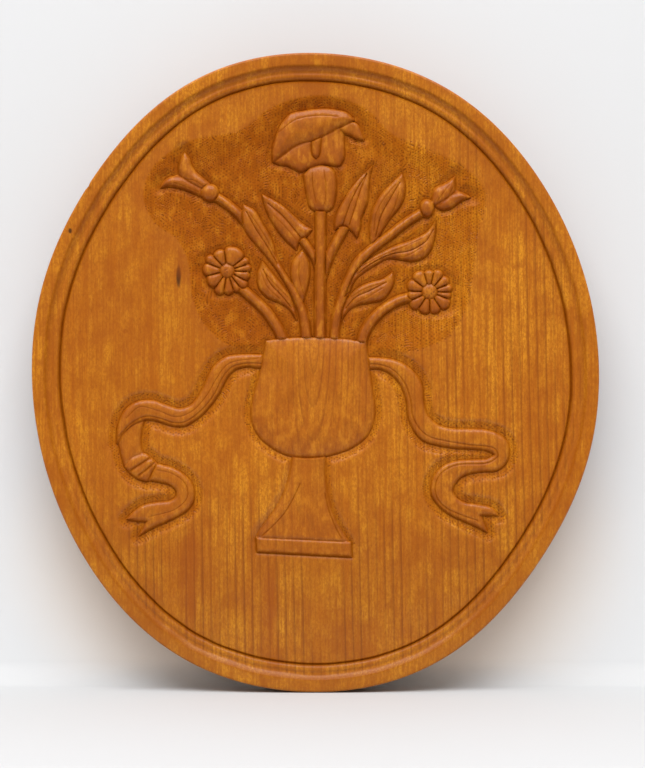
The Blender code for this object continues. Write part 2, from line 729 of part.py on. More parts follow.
def build_plaque():
    """The board: back, side and rim in loops, and the carved field within them."""
    rim = outline()
    inward = normals(rim, closed=True)
    profile = rim_profile()
    verts = []
    for inset, height in profile:
        verts += [(x, -height, z) for x, z in rim + inward * inset]
    faces = [tuple(reversed(range(RIM_FACETS)))]
    for row in range(len(profile) - 1):
        for i in range(RIM_FACETS):
            j = (i + 1) % RIM_FACETS
            low, high = row * RIM_FACETS, (row + 1) * RIM_FACETS
            faces.append((low + i, low + j, high + j, high + i))

    last_loop = (len(profile) - 1) * RIM_FACETS
    flat, heights, triangles, sources = field_mesh(rim + inward * profile[-1][0])
    number = []
    for (x, z), height, source in zip(flat, heights, sources):
        on_edge = [original for original in source if original < RIM_FACETS]
        if on_edge:
            number.append(last_loop + on_edge[0])
        else:
            number.append(len(verts))
            verts.append((x, -height, z))
    faces += [tuple(number[corner] for corner in triangle) for triangle in triangles]

    mesh = bpy.data.meshes.new("plaque")
    mesh.from_pydata(verts, [], faces)
    mesh.shade_smooth()
    mesh.set_sharp_from_angle(angle=math.radians(30))
    plaque = bpy.data.objects.new("plaque", mesh)
    bpy.context.scene.collection.objects.link(plaque)
    return plaque


def varnished_wood():
    """Honey-orange satin varnish over hardwood."""
    material = bpy.data.materials.new("varnished_wood")
    material.use_nodes = True
    shader = material.node_tree.nodes["Principled BSDF"]
    shader.inputs["Base Color"].default_value = (0.46, 0.17, 0.03, 1.0)
    shader.inputs["Roughness"].default_value = 0.38
    shader.inputs["Metallic"].default_value = 0.0
    return material


for old in list(bpy.data.objects):
    bpy.data.objects.remove(old)
build_plaque().data.materials.append(varnished_wood())
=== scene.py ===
"""Carved oval plaque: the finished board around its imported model, and its light and camera."""
import math

import bpy
import numpy as np
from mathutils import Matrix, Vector
from mathutils.geometry import delaunay_2d_cdt
from mathutils.kdtree import KDTree


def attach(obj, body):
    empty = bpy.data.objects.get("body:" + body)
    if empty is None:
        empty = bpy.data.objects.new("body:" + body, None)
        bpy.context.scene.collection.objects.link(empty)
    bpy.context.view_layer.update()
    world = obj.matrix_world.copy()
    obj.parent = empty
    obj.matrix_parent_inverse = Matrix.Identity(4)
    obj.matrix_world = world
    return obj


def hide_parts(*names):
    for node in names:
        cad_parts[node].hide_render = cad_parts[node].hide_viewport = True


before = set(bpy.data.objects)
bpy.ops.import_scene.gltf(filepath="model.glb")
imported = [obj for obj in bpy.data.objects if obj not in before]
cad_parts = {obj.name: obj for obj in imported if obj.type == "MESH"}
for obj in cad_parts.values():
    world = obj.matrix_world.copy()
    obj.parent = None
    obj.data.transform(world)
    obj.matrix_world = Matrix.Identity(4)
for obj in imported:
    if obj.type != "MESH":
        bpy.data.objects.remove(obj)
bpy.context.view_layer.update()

# Board, in metres
PLAQUE_WIDTH = 0.508
PLAQUE_HEIGHT = 0.571
THICKNESS = 0.025
EDGE_ROUND = 0.0022
BACK_ROUND = 0.0012
TRIM = 0.0002

# Rim moulding, from the outline inwards
RIM_WIDTH = 0.0112
COVE_WIDTH = 0.0066
COVE_DROP = 0.0034
BEAD_WIDTH = 0.0052
BEAD_CROWN = 0.0007
GROOVE_WIDTH = 0.0030
GROOVE_DEPTH = 0.0016
GROOVE_LIP = 0.0006
FIELD_DROP = 0.0046
HAND_WOBBLE = 0.0004
NICK_AT = math.radians(140.7)
NICK_DEPTH = 0.0007
NICK_STAIN = 0.8
# The unevenness of hand work: its wide and narrow patches, around the rim and over the field
NARROW_SHARE = 0.6
WOBBLE_SIZES = (0.09, 0.03)
FACET_SIZES = ((0.004, 0.009), (0.0023, 0.005))
SWELL_SIZE = (0.010, 0.014)
DIP_SIZE = (0.05, 0.05)
# Dark finish left in the groove and painted shade down the cove, from the cove's top to the field
RIM_STAIN_AND_SHADE = (0.10, 0.42, 0.46, 0.38, 0.28, 0.20, 0.12, 0.08, 0.08, 0.08, 0.0, 0.0, 0.0, 0.15,
             0.45, 0.95, 1.0, 0.95, 0.60, 0.25)
OUTLINE_WAVES = ((1, -0.0062, 0.0016), (2, -0.0043, 0.0021), (3, 0.0025, 0.0), (4, 0.0025, 0.0),
                 (6, 0.0032, -0.0025), (8, -0.0018, 0.0))

# Carving
CARVING_HEIGHT = 0.401
RELIEF_DEPTH = 0.0046
DOME = 0.75
WALL = 0.0008
GROUND_DEPTH = 0.0024
GROUND_SLOPE = 0.024
BOUQUET_DISH = 0.0040
BOUQUET_REACH = 0.0125
RIBBON_DISH = 0.0028
RIBBON_REACH = 0.0110
BOWL_DISH = 0.0026
BOWL_REACH = 0.0095
STEM_DISH = 0.0020
STEM_REACH = 0.0075
FOOT_DISH = 0.0012
FOOT_REACH = 0.0040
CUT_DEPTH = 0.0004
CUT_WIDTH = 0.0008
VALLEY_DEPTH = 0.0013
VALLEY_WIDTH = 0.0050
PETAL_SPREAD = 0.05
PETAL_NOTCH = 0.80

# The carving's squared sheet: columns run right and rows run down
SHEET_TOP = 108
SHEET_BOTTOM = 557
SHEET_CENTRE = (316.5, 373.0)
SQUARE = CARVING_HEIGHT / (SHEET_BOTTOM - SHEET_TOP)

# Punch marks over the ground: none under the edge's share of dots, and only some of them in the
# stray band over it
PUNCH_DEPTH = 0.00065
PUNCH_LEAST = 0.55
PUNCH_EDGE = 0.30
PUNCH_STRAY = 0.30
PUNCH_FADE = 0.003
DOTTED_DISH = 0.75
DOTTED_FADE = 0.3
DISC_DOTS = 0.6

# Flats left by the gouge, fading towards the groove, and room kept under the rim's face
TOOL_MARK = 0.00012
SWELL = 0.00030
EDGE_FADE = 0.007
FRONT_MARGIN = 0.0004

# Tone of the finish, darker on the ground and paler to the right, and painted shade darkening the
# low side of each form
TONE_FADE = 0.034
PALE_SIDE = 0.95
PALE_FROM = 0.01
PALE_ACROSS = 0.10
FORM_TONE = 0.40
LOW_SIDE_SHADE = 1.25
PLAIN_TONE = 0.5

# Painted shade along each edge, most of all under it, and darkening along knife lines
SHADE_WIDTH = 0.0018
LOOK_UP = 0.0006
EDGE_LIT = 0.15
KNIFE_DARK = 0.8
KNIFE_SPREAD = 1.15

# Fine veins, as squared-sheet points from one end to the other
VEIN_CUT = 0.07
VEIN_WIDTH = 0.8
VEINS = (
    [(279, 131), (296, 119), (318, 115), (338, 116)], [(312, 172), (313, 186), (316, 202)],
    [(324, 170), (326, 186), (325, 203)], [(184, 178), (194, 180), (202, 185)],
    [(174, 182), (186, 186), (198, 191)], [(441, 204), (448, 197), (453, 187)],
    [(438, 200), (443, 193), (450, 184)], [(266, 274), (276, 285), (288, 297)],
    [(261, 272), (267, 286), (279, 298)], [(374, 230), (376, 214), (384, 198), (396, 184)],
    [(385, 222), (394, 208), (399, 192)], [(370, 268), (386, 258), (408, 255), (422, 247)],
    [(360, 267), (378, 257), (400, 248), (422, 238)], [(356, 302), (369, 296), (384, 287)],
    [(352, 296), (364, 289), (382, 283)], [(249, 212), (260, 228), (270, 245), (284, 273)],
    [(274, 215), (285, 226), (296, 239)], [(299, 262), (299, 276), (303, 292)],
    [(317, 262), (316.5, 300), (316, 335)], [(324, 262), (324, 300), (325, 335)],
    [(126, 418), (139, 407), (158, 411), (176, 417), (192, 411), (206, 396), (216, 379),
     (228, 364), (258, 358)],
    [(156, 470), (172, 474), (185, 484), (187, 497), (176, 509), (150, 517)],
)

# Growth rings to the metre, the height that the bowl's arched rings are centred on, their
# flatness, and the Y over which the field's rings fade out up the rim
FIELD_RINGS = 135.0
BOWL_RINGS = 195.0
BOWL_TOP = 0.028
BOWL_SLOPE = 0.17
RING_FADE = (-0.0224, -0.0216)

# Marks in the wood: place from the front's centre, half width and half height, in metres
FLAWS = {"gum": (-0.1237, 0.0866, 0.0027, 0.0125), "knot": (-0.172, 0.0375, 0.0030, 0.0026),
         "halo": (-0.1230, 0.0980, 0.0050, 0.0160), "left_band": (-0.113, -0.175, 0.0100, 0.0700),
         "low_band": (-0.0415, -0.205, 0.0085, 0.0480),
         "rim_spot": (-0.2200, 0.1270, 0.0020, 0.0030),
         "rim_chip": (-0.2050, 0.1680, 0.0022, 0.0022)}
BLACK_FLAWS = ("gum", "rim_spot", "rim_chip")
# How strongly the two kinds of mark colour the wood, and with what
BLACK_MARK = (0.9, (0.05, 0.015, 0.002))
BROWN_MARK = (0.4, (0.28, 0.055, 0.002))

# Studio sheet
FLOOR = -0.2858
WALL_BEHIND = 0.030
SWEEP_RADIUS = 0.021
SWEEP_STEPS = 25
STAGE_REACH = 12.0
STAGE_HEIGHT = 3.0
# Painted warm bounce light from the board on the wall: place, half width and half height
PAINTED_BOUNCE = (0.0, -0.165, 0.310, 0.215)

# Light: one soft panel above and before the board, and a warm room
LIGHT_AT = (-0.16, -1.90, 3.00)
LIGHT_AIM = (0.0, 0.0, -0.02)
LIGHT_SIZE = (3.8, 2.3)
LIGHT_POWER = 146.0
LIGHT_COLOUR = (0.985, 1.0, 1.03)
ROOM_COLOUR = (1.0, 0.90, 0.80, 1.0)

# Camera, and the size in pixels of the picture it takes
PICTURE = (645, 768)
DISTANCE = 1.8
SENSOR = 36.0

# Mesh: facets, gaps between points, tolerances, and how far the lattice is bent and shaken
RIM_FACETS = 440
FINE_SPACING = 0.00138
COARSE_SPACING = 0.0034
ZONE_MARGIN = 0.0025
CURVE_TOLERANCE = 0.00005
FINE_TOLERANCE = 0.00002
LOOK_SPACING = 0.0007
LONGEST_EDGE = 0.0014
SHORTEST_EDGE = 0.00022
LINE_GAP = 0.42
LINE_SLACK = 0.15
COVERED = 0.9
LATTICE_PATCH = 0.013
LATTICE_BEND = 2.4
LATTICE_SHAKE = 0.24
SHOULDER = 0.25
CURVE_STEPS = 18
FAN_ANGLE = math.radians(40)
SHARP_ANGLE = math.radians(44)
BATCH = 4096

FIELD_LEVEL = THICKNESS - FIELD_DROP


def on_plaque(points):
    """Squared-sheet points as metres right of and above the plaque's centre."""
    sheet = np.array(points, dtype=float)
    return np.column_stack(((sheet[:, 0] - SHEET_CENTRE[0]) * SQUARE,
                            (SHEET_CENTRE[1] - sheet[:, 1]) * SQUARE))


# Curves

def between(t, start, end, a, b):
    """Straight mix that is a where t is the start and b where it is the end."""
    return (end - t) / (end - start) * a + (t - start) / (end - start) * b


def through(points):
    """Smooth centripetal curve through all the points. A pair of points stays straight."""
    points = np.asarray(points, dtype=float)
    if len(points) < 3:
        return points
    knots = np.vstack((2 * points[0] - points[1], points, 2 * points[-1] - points[-2]))
    pieces = []
    for i in range(1, len(knots) - 2):
        a, b, c, d = knots[i - 1:i + 3]
        ta = 0.0
        tb = ta + math.sqrt(np.linalg.norm(b - a))
        tc = tb + math.sqrt(np.linalg.norm(c - b))
        td = tc + math.sqrt(np.linalg.norm(d - c))
        t = np.linspace(tb, tc, CURVE_STEPS, endpoint=False)[:, None]
        bc = between(t, tb, tc, b, c)
        abc = between(t, ta, tc, between(t, ta, tb, a, b), bc)
        bcd = between(t, tb, td, bc, between(t, tc, td, c, d))
        pieces.append(between(t, tb, tc, abc, bcd))
    pieces.append(points[-1:])
    return np.vstack(pieces)


def units(vectors):
    """The vectors at unit length."""
    return vectors / np.maximum(np.linalg.norm(vectors, axis=1), 1e-12)[:, None]


def left_of(vectors):
    """The vectors turned a quarter turn to the left."""
    return np.column_stack((-vectors[:, 1], vectors[:, 0]))


def normals(line, closed=False):
    """Unit vectors to the left of a line's direction."""
    steps = units(np.roll(line, -1, axis=0) - line)
    before = np.roll(steps, 1, axis=0)
    if not closed:
        steps[-1] = steps[-2]
        before[0] = steps[0]
    return left_of(units(steps + before))


def beside(loop, distance):
    """Loop outside a counter-clockwise one, fanned out around its sharp corners."""
    steps = units(np.roll(loop, -1, axis=0) - loop)
    before = np.roll(steps, 1, axis=0)
    turn = before[:, 0] * steps[:, 1] - before[:, 1] * steps[:, 0]
    straight = np.einsum("ij,ij->i", before, steps)
    corner = (turn > 0) & (straight < math.cos(FAN_ANGLE))
    line = []
    for point, first, last, fan in zip(loop, -left_of(before), -left_of(steps), corner):
        middle = first + last
        if np.linalg.norm(middle) < 1e-6:
            middle = np.array((-first[1], first[0]))
        middle = middle / np.linalg.norm(middle)
        spread = (first, middle, last) if fan else (middle,)
        line += [point + direction * distance for direction in spread]
    return np.array(line)


def resampled(line, spacing):
    """A line's own points with more put between them, no further apart than the spacing."""
    result = [line[:1]]
    for a, b in zip(line[:-1], line[1:]):
        count = max(1, math.ceil(np.linalg.norm(b - a) / spacing))
        result.append(a + (b - a) * (np.arange(1, count + 1) / count)[:, None])
    return np.vstack(result)


def thinned(line, tolerance, longest=math.inf):
    """A line with the fewest points that keep it within the tolerance."""
    keep = [0, len(line) - 1]
    stack = [(0, len(line) - 1)]
    while stack:
        start, end = stack.pop()
        if end - start < 2:
            continue
        chord = line[end] - line[start]
        length = np.linalg.norm(chord)
        between = line[start + 1:end] - line[start]
        if length > 1e-9:
            off = np.abs(between[:, 0] * chord[1] - between[:, 1] * chord[0]) / length
        else:
            off = np.linalg.norm(between, axis=1)
        worst = int(np.argmax(off))
        if off[worst] > tolerance:
            middle = start + 1 + worst
        elif length > longest:
            middle = (start + end) // 2
        else:
            continue
        keep.append(middle)
        stack.append((start, middle))
        stack.append((middle, end))
    return line[sorted(set(keep))]


def stretches(line, keep, tolerance):
    """The kept stretches of a line, each with few points."""
    found = []
    run = []
    for point, kept in zip(line, keep):
        if kept:
            run.append(point)
        elif run:
            found.append(run)
            run = []
    if run:
        found.append(run)
    return [thinned(np.array(run), tolerance, LONGEST_EDGE) for run in found]


def curves(*runs):
    """Closed outline from runs of sheet points, each smooth, meeting at corners."""
    lines = []
    for i, run in enumerate(runs):
        following = runs[(i + 1) % len(runs)]
        lines.append(through(on_plaque(list(run) + [following[0]])))
    return lines


# Measures

def distance_to_line(points, line):
    """Distance of each point to an open line."""
    starts = line[:-1]
    edges = line[1:] - starts
    lengths = np.maximum(np.einsum("ij,ij->i", edges, edges), 1e-18)
    away = np.empty(len(points))
    for first in range(0, len(points), BATCH):
        offsets = points[first:first + BATCH, None] - starts
        shares = np.clip(np.einsum("ijk,jk->ij", offsets, edges) / lengths, 0.0, 1.0)
        gaps = offsets - shares[..., None] * edges
        away[first:first + BATCH] = np.einsum("ijk,ijk->ij", gaps, gaps).min(axis=1)
    return np.sqrt(away)


def inside(points, loop):
    """Whether each point lies in a closed loop."""
    result = np.zeros(len(points), dtype=bool)
    x, z = points[:, 0], points[:, 1]
    for a, b in zip(loop, np.roll(loop, -1, axis=0)):
        if a[1] == b[1]:
            continue
        crosses = (a[1] > z) != (b[1] > z)
        at = (b[0] - a[0]) * (z - a[1]) / (b[1] - a[1]) + a[0]
        result ^= crosses & (x < at)
    return result


def signed_distance(points, loop):
    """Distance to a closed loop, positive inside it."""
    away = distance_to_line(points, np.vstack((loop, loop[:1])))
    return np.where(inside(points, loop), away, -away)


def counter_clockwise(loop):
    """The loop, turned round where it runs clockwise."""
    ahead = np.roll(loop, -1, axis=0)
    twice_area = np.sum(loop[:, 0] * ahead[:, 1] - loop[:, 1] * ahead[:, 0])
    return loop if twice_area > 0 else loop[::-1]


def ease(share):
    """Smooth step from 0 to 1."""
    share = np.clip(share, 0.0, 1.0)
    return share * share * (3 - 2 * share)


# Carved forms: lengths over the sheet are in squares, heights are shares of the relief depth

class Form:
    """One carved form: a closed outline and the surface that stands within it."""

    def __init__(self, pieces, level, crown=0.0, roll=3.4, lean=(0.0, 0.0), ribs=(), rows=(),
                 dish=BOUQUET_DISH, reach=BOUQUET_REACH, parted=False):
        self.pieces = pieces
        fine = [thinned(piece, FINE_TOLERANCE)[:-1] for piece in pieces]
        self.outline = counter_clockwise(np.vstack(fine))
        self.centre = (self.outline.min(axis=0) + self.outline.max(axis=0)) / 2
        self.level = level * RELIEF_DEPTH
        self.crown = crown * RELIEF_DEPTH
        self.roll = roll * SQUARE
        self.lean = np.array(lean)
        self.ribs = ribs
        self.rows = rows
        self.dish = dish
        self.reach = reach
        self.parted = parted
        self.over = []

    def depth_in(self, points, margin):
        """Signed distance to the outline, with points past the margin set far outside."""
        low = self.outline.min(axis=0) - margin
        high = self.outline.max(axis=0) + margin
        near = ((points >= low) & (points <= high)).all(axis=1)
        depth = np.full(len(points), -math.inf)
        if near.any():
            depth[near] = signed_distance(points[near], self.outline)
        return depth

    def surface(self, points, depth):
        """Height of the form's own surface over the field."""
        if self.parted:
            for line, _, _ in self.ribs:
                depth = np.minimum(depth, distance_to_line(points, line))
        rise = np.clip(depth / self.roll, 0.0, 1.0)
        height = self.level + self.crown * (1 - (1 - rise) ** 2) ** DOME
        height += (points - self.centre) @ self.lean
        for line, cut, width in self.ribs:
            height -= cut * np.clip(1 - distance_to_line(points, line) / width, 0.0, 1.0)
        return height


def knife_line(points, cut=0.15, width=1.0):
    """A knife line within a form: its route, its depth and its half width."""
    return through(on_plaque(points)), cut * RELIEF_DEPTH, width * SQUARE


def stalk(points, width, end_width=None, **shape):
    """A round stem along a smooth centreline."""
    centre = through(on_plaque(points))
    end_width = width if end_width is None else end_width
    half = np.linspace(width, end_width, len(centre))[:, None] * SQUARE / 2
    side = normals(centre)
    left = centre + side * half
    right = (centre - side * half)[::-1]
    caps = [np.vstack((left[-1:], right[:1])), np.vstack((right[-1:], left[:1]))]
    return Form([left, caps[0], right, caps[1]], roll=min(width, end_width) / 2, rows=(centre,),
                **shape)


def boss(centre, across, up, facets=18, **shape):
    """An oval boss."""
    turn = np.linspace(0.0, 2 * math.pi, facets + 1)
    middle = on_plaque([centre])
    ring = middle + np.column_stack((np.cos(turn) * across, np.sin(turn) * up)) * SQUARE
    return Form([ring], roll=min(across, up), rows=(middle,), **shape)


def daisy(centre, disc, radius, gaps, level):
    """Petals around a domed disc, parted by cuts at the angles of the gaps, in degrees."""
    def at(angle, length):
        turn = math.radians(angle)
        return (centre[0] + length * math.cos(turn), centre[1] - length * math.sin(turn))

    notch = radius * PETAL_NOTCH
    scallops = []
    cuts = []
    for i, start in enumerate(gaps):
        end = gaps[(i + 1) % len(gaps)]
        span = (end - start) % 360
        reach = radius * (1 + PETAL_SPREAD * math.sin(2.3 * i))
        scallops.append([at(start, notch), at(start + span * 0.12, reach * 0.93),
                         at(start + span * 0.5, reach), at(start + span * 0.88, reach * 0.93)])
        cuts.append(knife_line([at(start, disc * 0.9), at(start, notch)], 0.26, 1.1))
    petals = Form(curves(*scallops), level=level, crown=0.44, roll=5.2, ribs=cuts, parted=True)
    return [petals, boss(centre, disc, disc, facets=12, level=level - 0.04, crown=0.44)]


def lily():
    """Calla lily: its tube, the open face, the spadix, the curled tip and the hood."""
    tube = Form(curves(
        [(304, 174), (304.5, 182), (306.5, 192), (308, 200), (310, 206.5), (315, 209.8),
         (322, 210.5), (329, 209.8), (333, 206), (335.3, 196), (336, 185), (335, 175),
         (331, 167.5), (321, 164.5), (310, 167.5)]),
        level=-0.58, crown=0.70, roll=13.5)
    face = Form(curves(
        [(273, 161), (279, 163.5), (287, 164.5), (294, 168), (301, 170.5), (309, 167),
         (320, 163.5), (331, 164), (338, 165)],
        [(341, 163.5), (344, 157), (344.5, 148), (344, 138), (345, 130)],
        [(354, 117), (330, 122), (300, 135)]),
        level=-0.66, crown=0.52, roll=12, lean=(0.0, -0.030))
    spadix = Form(curves(
        [(311.5, 130), (311.3, 148), (312.5, 155)],
        [(316, 158.5), (319.3, 155), (320.5, 147), (320.5, 130)]),
        level=-0.35, crown=0.57, roll=4.3)
    curl = Form(curves(
        [(340, 128), (345, 123.5), (352, 121), (358, 124), (361, 130)],
        [(364, 139), (356, 137.5), (350, 134), (346.5, 133)]),
        level=-0.39, crown=0.26, roll=4.5)
    hood = Form(curves(
        [(354, 119), (346, 123.5), (338, 127), (330, 132), (322, 136), (313, 140), (303, 142.5),
         (295, 145.5), (288, 150), (281, 155)],
        [(273, 161), (272, 152), (275, 138), (281, 124), (290, 113.5), (304, 110), (321, 108),
         (336, 109), (347, 112)]),
        level=-0.30, crown=0.78, roll=15, lean=(0.0, 0.012))
    return [tube, face, spadix, curl, hood]


def left_cup_flower():
    """Cup flower on the left, and the boss under its cup."""
    cup = Form(curves(
        [(203, 197), (196, 193.5), (189, 190.5), (182, 188), (174, 186), (166, 185.5)],
        [(160, 187), (163, 181), (168, 177), (174, 175.5)], [(178, 174), (178, 167), (180, 159)],
        [(184, 152), (189, 158), (191, 165), (195, 171), (202, 177)], [(209, 183)]),
        level=-0.56, crown=0.62, roll=8.4,
        ribs=(knife_line([(179, 175), (190, 182), (201, 188)], 0.13, 1.8),))
    return [cup, boss((209.5, 192), 8.5, 8.6, level=-0.44, crown=0.72)]


def right_cup_flower():
    """Cup flower on the right, and the boss under its cup."""
    cup = Form(curves(
        [(432, 203), (433, 195), (434.5, 189), (438, 186), (446, 182.5)],
        [(455.5, 176), (455.5, 183)], [(456, 190), (463, 192)],
        [(471, 196.5), (463, 199.5), (457, 203.5), (450, 208), (441, 209)]),
        level=-0.56, crown=0.70, roll=8.4,
        ribs=(knife_line([(456, 191), (447, 198), (437, 204)], 0.13, 1.8),))
    return [cup, boss((427.5, 207.5), 6.8, 8.8, level=-0.44, crown=0.72)]


def right_back_leaves():
    """Arrowhead leaf and plain leaf behind the right stems."""
    arrowhead = Form(curves(
        [(335, 229), (335, 221), (338, 211), (344, 200), (350, 190), (358, 180)],
        [(372, 166), (369.5, 178), (368.5, 190), (368, 199), (365, 208), (361, 218), (360, 228)],
        [(357, 237), (352, 230.5), (346, 226), (340, 226)]),
        level=-0.56, crown=0.54, roll=8.4,
        ribs=(knife_line([(343, 224), (350, 204), (358, 187), (367, 173)]),
              knife_line([(349.5, 224), (356, 204), (361, 188), (367, 173)])))
    plain = Form(curves(
        [(372, 246), (370, 235), (371, 220), (374, 207), (383, 192), (393, 182)],
        [(402.5, 173), (405, 184), (404.5, 195), (400, 206), (391, 217), (383, 229), (377, 240)]),
        level=-0.56, crown=0.58, roll=8.8,
        ribs=(knife_line([(376, 236), (381, 216), (390, 199), (400, 182)]),))
    return [arrowhead, plain]


def right_front_leaves():
    """The two curling leaves on the lower right."""
    upper = Form(curves(
        [(345, 296), (349, 285), (356, 271), (367, 261), (382, 252), (397, 245), (414, 239),
         (427, 232)],
        [(436, 221), (435, 236), (431, 249), (424, 257), (413, 260.5), (399, 258.5), (388, 258),
         (378, 263), (364, 272), (355, 280), (349, 292)]),
        level=-0.55, crown=0.60, roll=8.0, lean=(0.0, 0.030),
        ribs=(knife_line([(358, 273), (372, 263), (391, 254), (411, 250), (426, 241),
                          (434, 229)]),))
    lower = Form(curves(
        [(341, 321), (343, 308), (349, 297), (358, 288), (370, 282.5), (383, 279)],
        [(393, 272), (394, 282), (390, 291), (383, 299), (371, 302), (358, 304.5), (348, 311)]),
        level=-0.55, crown=0.60, roll=8.0, lean=(0.0, 0.030),
        ribs=(knife_line([(346, 308), (356, 297), (371, 290), (386, 282)]),))
    return [upper, lower]


def left_back_leaves():
    """Arrowhead leaf and hanging bud beside the middle stem."""
    arrowhead = Form(curves(
        [(262, 194), (265, 206), (270, 218), (277, 229), (286, 240)], [(296.5, 249.5), (298, 243)],
        [(301, 238), (306, 236)], [(312, 229), (303, 224), (293, 215), (283, 206), (272, 199)]),
        level=-0.60, crown=0.50, roll=7.6,
        ribs=(knife_line([(268, 203), (283, 216), (300, 236)], 0.17, 1.35),))
    bud = Form(curves(
        [(302, 305), (296, 294), (292, 282), (291, 269), (295, 258)],
        [(302, 250), (308, 259), (309.5, 273), (307, 288)]),
        level=-0.60, crown=0.54, roll=7.6)
    return [arrowhead, bud]


def left_front_leaves():
    """Long leaf that runs down into its own stem, and the leaf below it."""
    long = Form(curves(
        [(302, 345), (299, 315), (291, 294), (279, 273), (268, 258), (257, 245), (247, 233),
         (242, 221)],
        [(243, 204), (254, 210), (262, 223), (271, 239), (276, 256), (285, 273), (296, 290),
         (304, 305), (309, 322)],
        [(312, 345)]),
        level=-0.54, crown=0.60, roll=8.4, lean=(0.020, 0.0),
        ribs=(knife_line([(246, 211), (256, 229), (267, 246), (277, 263)]),))
    low = Form(curves(
        [(297, 320), (289, 309), (279, 302), (267, 297), (259, 288), (257, 276)],
        [(262, 261), (270, 271), (281, 284), (289, 295), (294, 307)]),
        level=-0.57, crown=0.62, roll=7.6,
        ribs=(knife_line([(263, 269), (270, 283), (281, 295), (291, 307)]),))
    return [long, low]


def bouquet():
    """Flowers, stems and leaves, back to front."""
    stems = {"level": -0.60, "crown": 0.68}
    return [
        stalk([(296, 231), (307, 246), (315, 258), (320, 272)], 7.5, **stems),
        stalk([(347, 222), (338, 239), (331, 252), (326, 264), (321, 280)], 9, **stems),
        stalk([(320.5, 207), (320.5, 250), (320, 290), (320, 345)], 10, 11, **stems),
        *lily(),
        *right_back_leaves(),
        *left_back_leaves(),
        stalk([(213, 195), (222, 200), (230, 206), (238, 213), (247, 224)], 8.5, **stems),
        *left_cup_flower(),
        *left_front_leaves(),
        stalk([(424, 211), (412, 218), (402, 225), (391, 234), (379, 243), (368, 252),
               (358, 262), (351, 275), (345, 290), (340, 305), (336, 322), (334, 345)],
              8, 9, **stems),
        *right_cup_flower(),
        *right_front_leaves(),
        stalk([(424, 293), (410, 297), (399, 300), (388, 306), (379, 313), (371, 322),
               (364, 334), (361, 346)], 8.5, 10, **stems),
        *daisy((430, 291.5), 7.6, 23.0,
               (22, 50, 78, 106, 143, 178, 205, 237, 271, 304, 339, 359), level=-0.60),
        stalk([(237, 284), (248, 294), (257, 302), (265, 310), (273, 321), (279, 331),
               (285, 346)], 9, 10, **stems),
        *daisy((226.8, 270.5), 7.2, 24.0,
               (18, 38, 98, 133, 159, 194, 235, 261, 288, 308, 332, 358), level=-0.48),
    ]


def left_ribbon():
    """The ribbon's left end: the band, its fall behind the fold, the knuckle and the tail."""
    ground = {"dish": RIBBON_DISH, "reach": RIBBON_REACH}
    shape = {"level": -0.36, "crown": 0.38, "roll": 5.4, **ground}
    fall = Form(curves(
        [(143, 421), (141, 432), (140, 442), (141, 450)], [(144, 457), (134, 464)],
        [(124, 467), (121, 458), (119, 449), (117, 440), (119, 425)]),
        level=-0.46, crown=0.26, roll=5.0, **ground)
    tail = Form(curves(
        [(150, 463), (162, 465.5), (172, 468.5), (181, 473.5), (189, 481), (193.5, 490),
         (193, 501), (187, 510.5), (176, 517.5), (162, 524), (149, 530)],
        [(138, 536.5), (142, 529)], [(146, 522), (138, 522)],
        [(126, 519.5), (134, 511.5), (144, 505.5), (157, 503), (168, 502), (175, 498),
         (175.5, 491), (168, 485), (157, 482)],
        [(147, 481), (146, 471)]),
        **shape)
    knuckle = Form(curves(
        [(124, 467), (130, 459), (137, 455.5), (144, 454), (151, 459)],
        [(156, 464), (152, 472), (148, 480)], [(146, 482), (137, 479), (130, 474)]),
        level=-0.33, crown=0.37, roll=5.6,
        ribs=(knife_line([(130, 471), (139, 465), (150, 458)], 0.30, 2.0),
              knife_line([(138, 476), (146, 470), (154, 463)], 0.30, 2.0)),
        **ground)
    band = Form(curves(
        [(262, 355), (248, 354.5), (237, 355), (227, 356.5), (218, 362), (211, 370), (205, 383),
         (199, 395), (190, 405.5), (179, 409), (166, 405.5), (153, 401), (141, 401),
         (130, 405.5), (121.5, 415), (117, 428)],
        [(116, 444), (123, 434), (134, 424.5), (146, 420), (158, 421.5), (172, 426), (184, 426),
         (196, 419.5), (209, 407), (219, 393), (226, 379), (234, 370), (246, 366.5), (262, 367)]),
        ribs=(knife_line([(118, 437), (130, 424), (145, 416.5), (158, 418), (172, 422.5),
                          (183, 422.5), (193, 417), (206, 405), (215, 392), (222, 378),
                          (231, 367.5), (244, 363.5), (262, 363.5)], 0.15, 1.25),),
        **shape)
    return [fall, tail, knuckle, band]


def right_ribbon():
    """The ribbon's right end: one band that runs out, turns back and ends in the tail."""
    ribbon = Form(curves(
        [(364, 357.5), (380, 358), (394, 360), (407, 366), (417, 375.5), (423, 388), (424, 402),
         (428, 415.5), (438, 425), (452, 429), (468, 429.5), (484, 430), (498, 434), (507, 441),
         (510, 451), (507, 463), (498, 470.5), (482, 472), (468, 474.5), (458, 481),
         (453.5, 490), (457, 498.5), (466, 503.5), (480, 505.5), (493, 509)],
        [(499, 516), (490, 516)], [(481, 516), (485, 524)],
        [(488, 533), (477, 527.5), (464, 521.5), (450, 515), (439, 506), (432, 495), (432, 483),
         (437, 473), (446, 465.5), (458, 461.5), (474, 460.5), (488, 459.5), (494.5, 455),
         (486, 450.5), (470, 449), (454, 448), (438, 445.5), (424, 441), (414, 430),
         (408.5, 416), (407, 402), (402, 387), (393, 375.5), (381, 369), (364, 367.5)]),
        level=-0.36, crown=0.38, roll=5.4, dish=RIBBON_DISH, reach=RIBBON_REACH,
        ribs=(knife_line([(364, 364), (382, 365), (396, 372), (406, 385), (411, 401), (413, 416),
                          (420, 429), (430, 437), (445, 441), (470, 445), (487, 446.5),
                          (496, 449.5), (498.5, 456), (489, 463), (459, 465), (447, 469.5),
                          (439, 477), (435.5, 487), (438, 499), (447, 508.5), (462, 515.5),
                          (478, 521)], 0.15, 1.25),))
    return [ribbon]


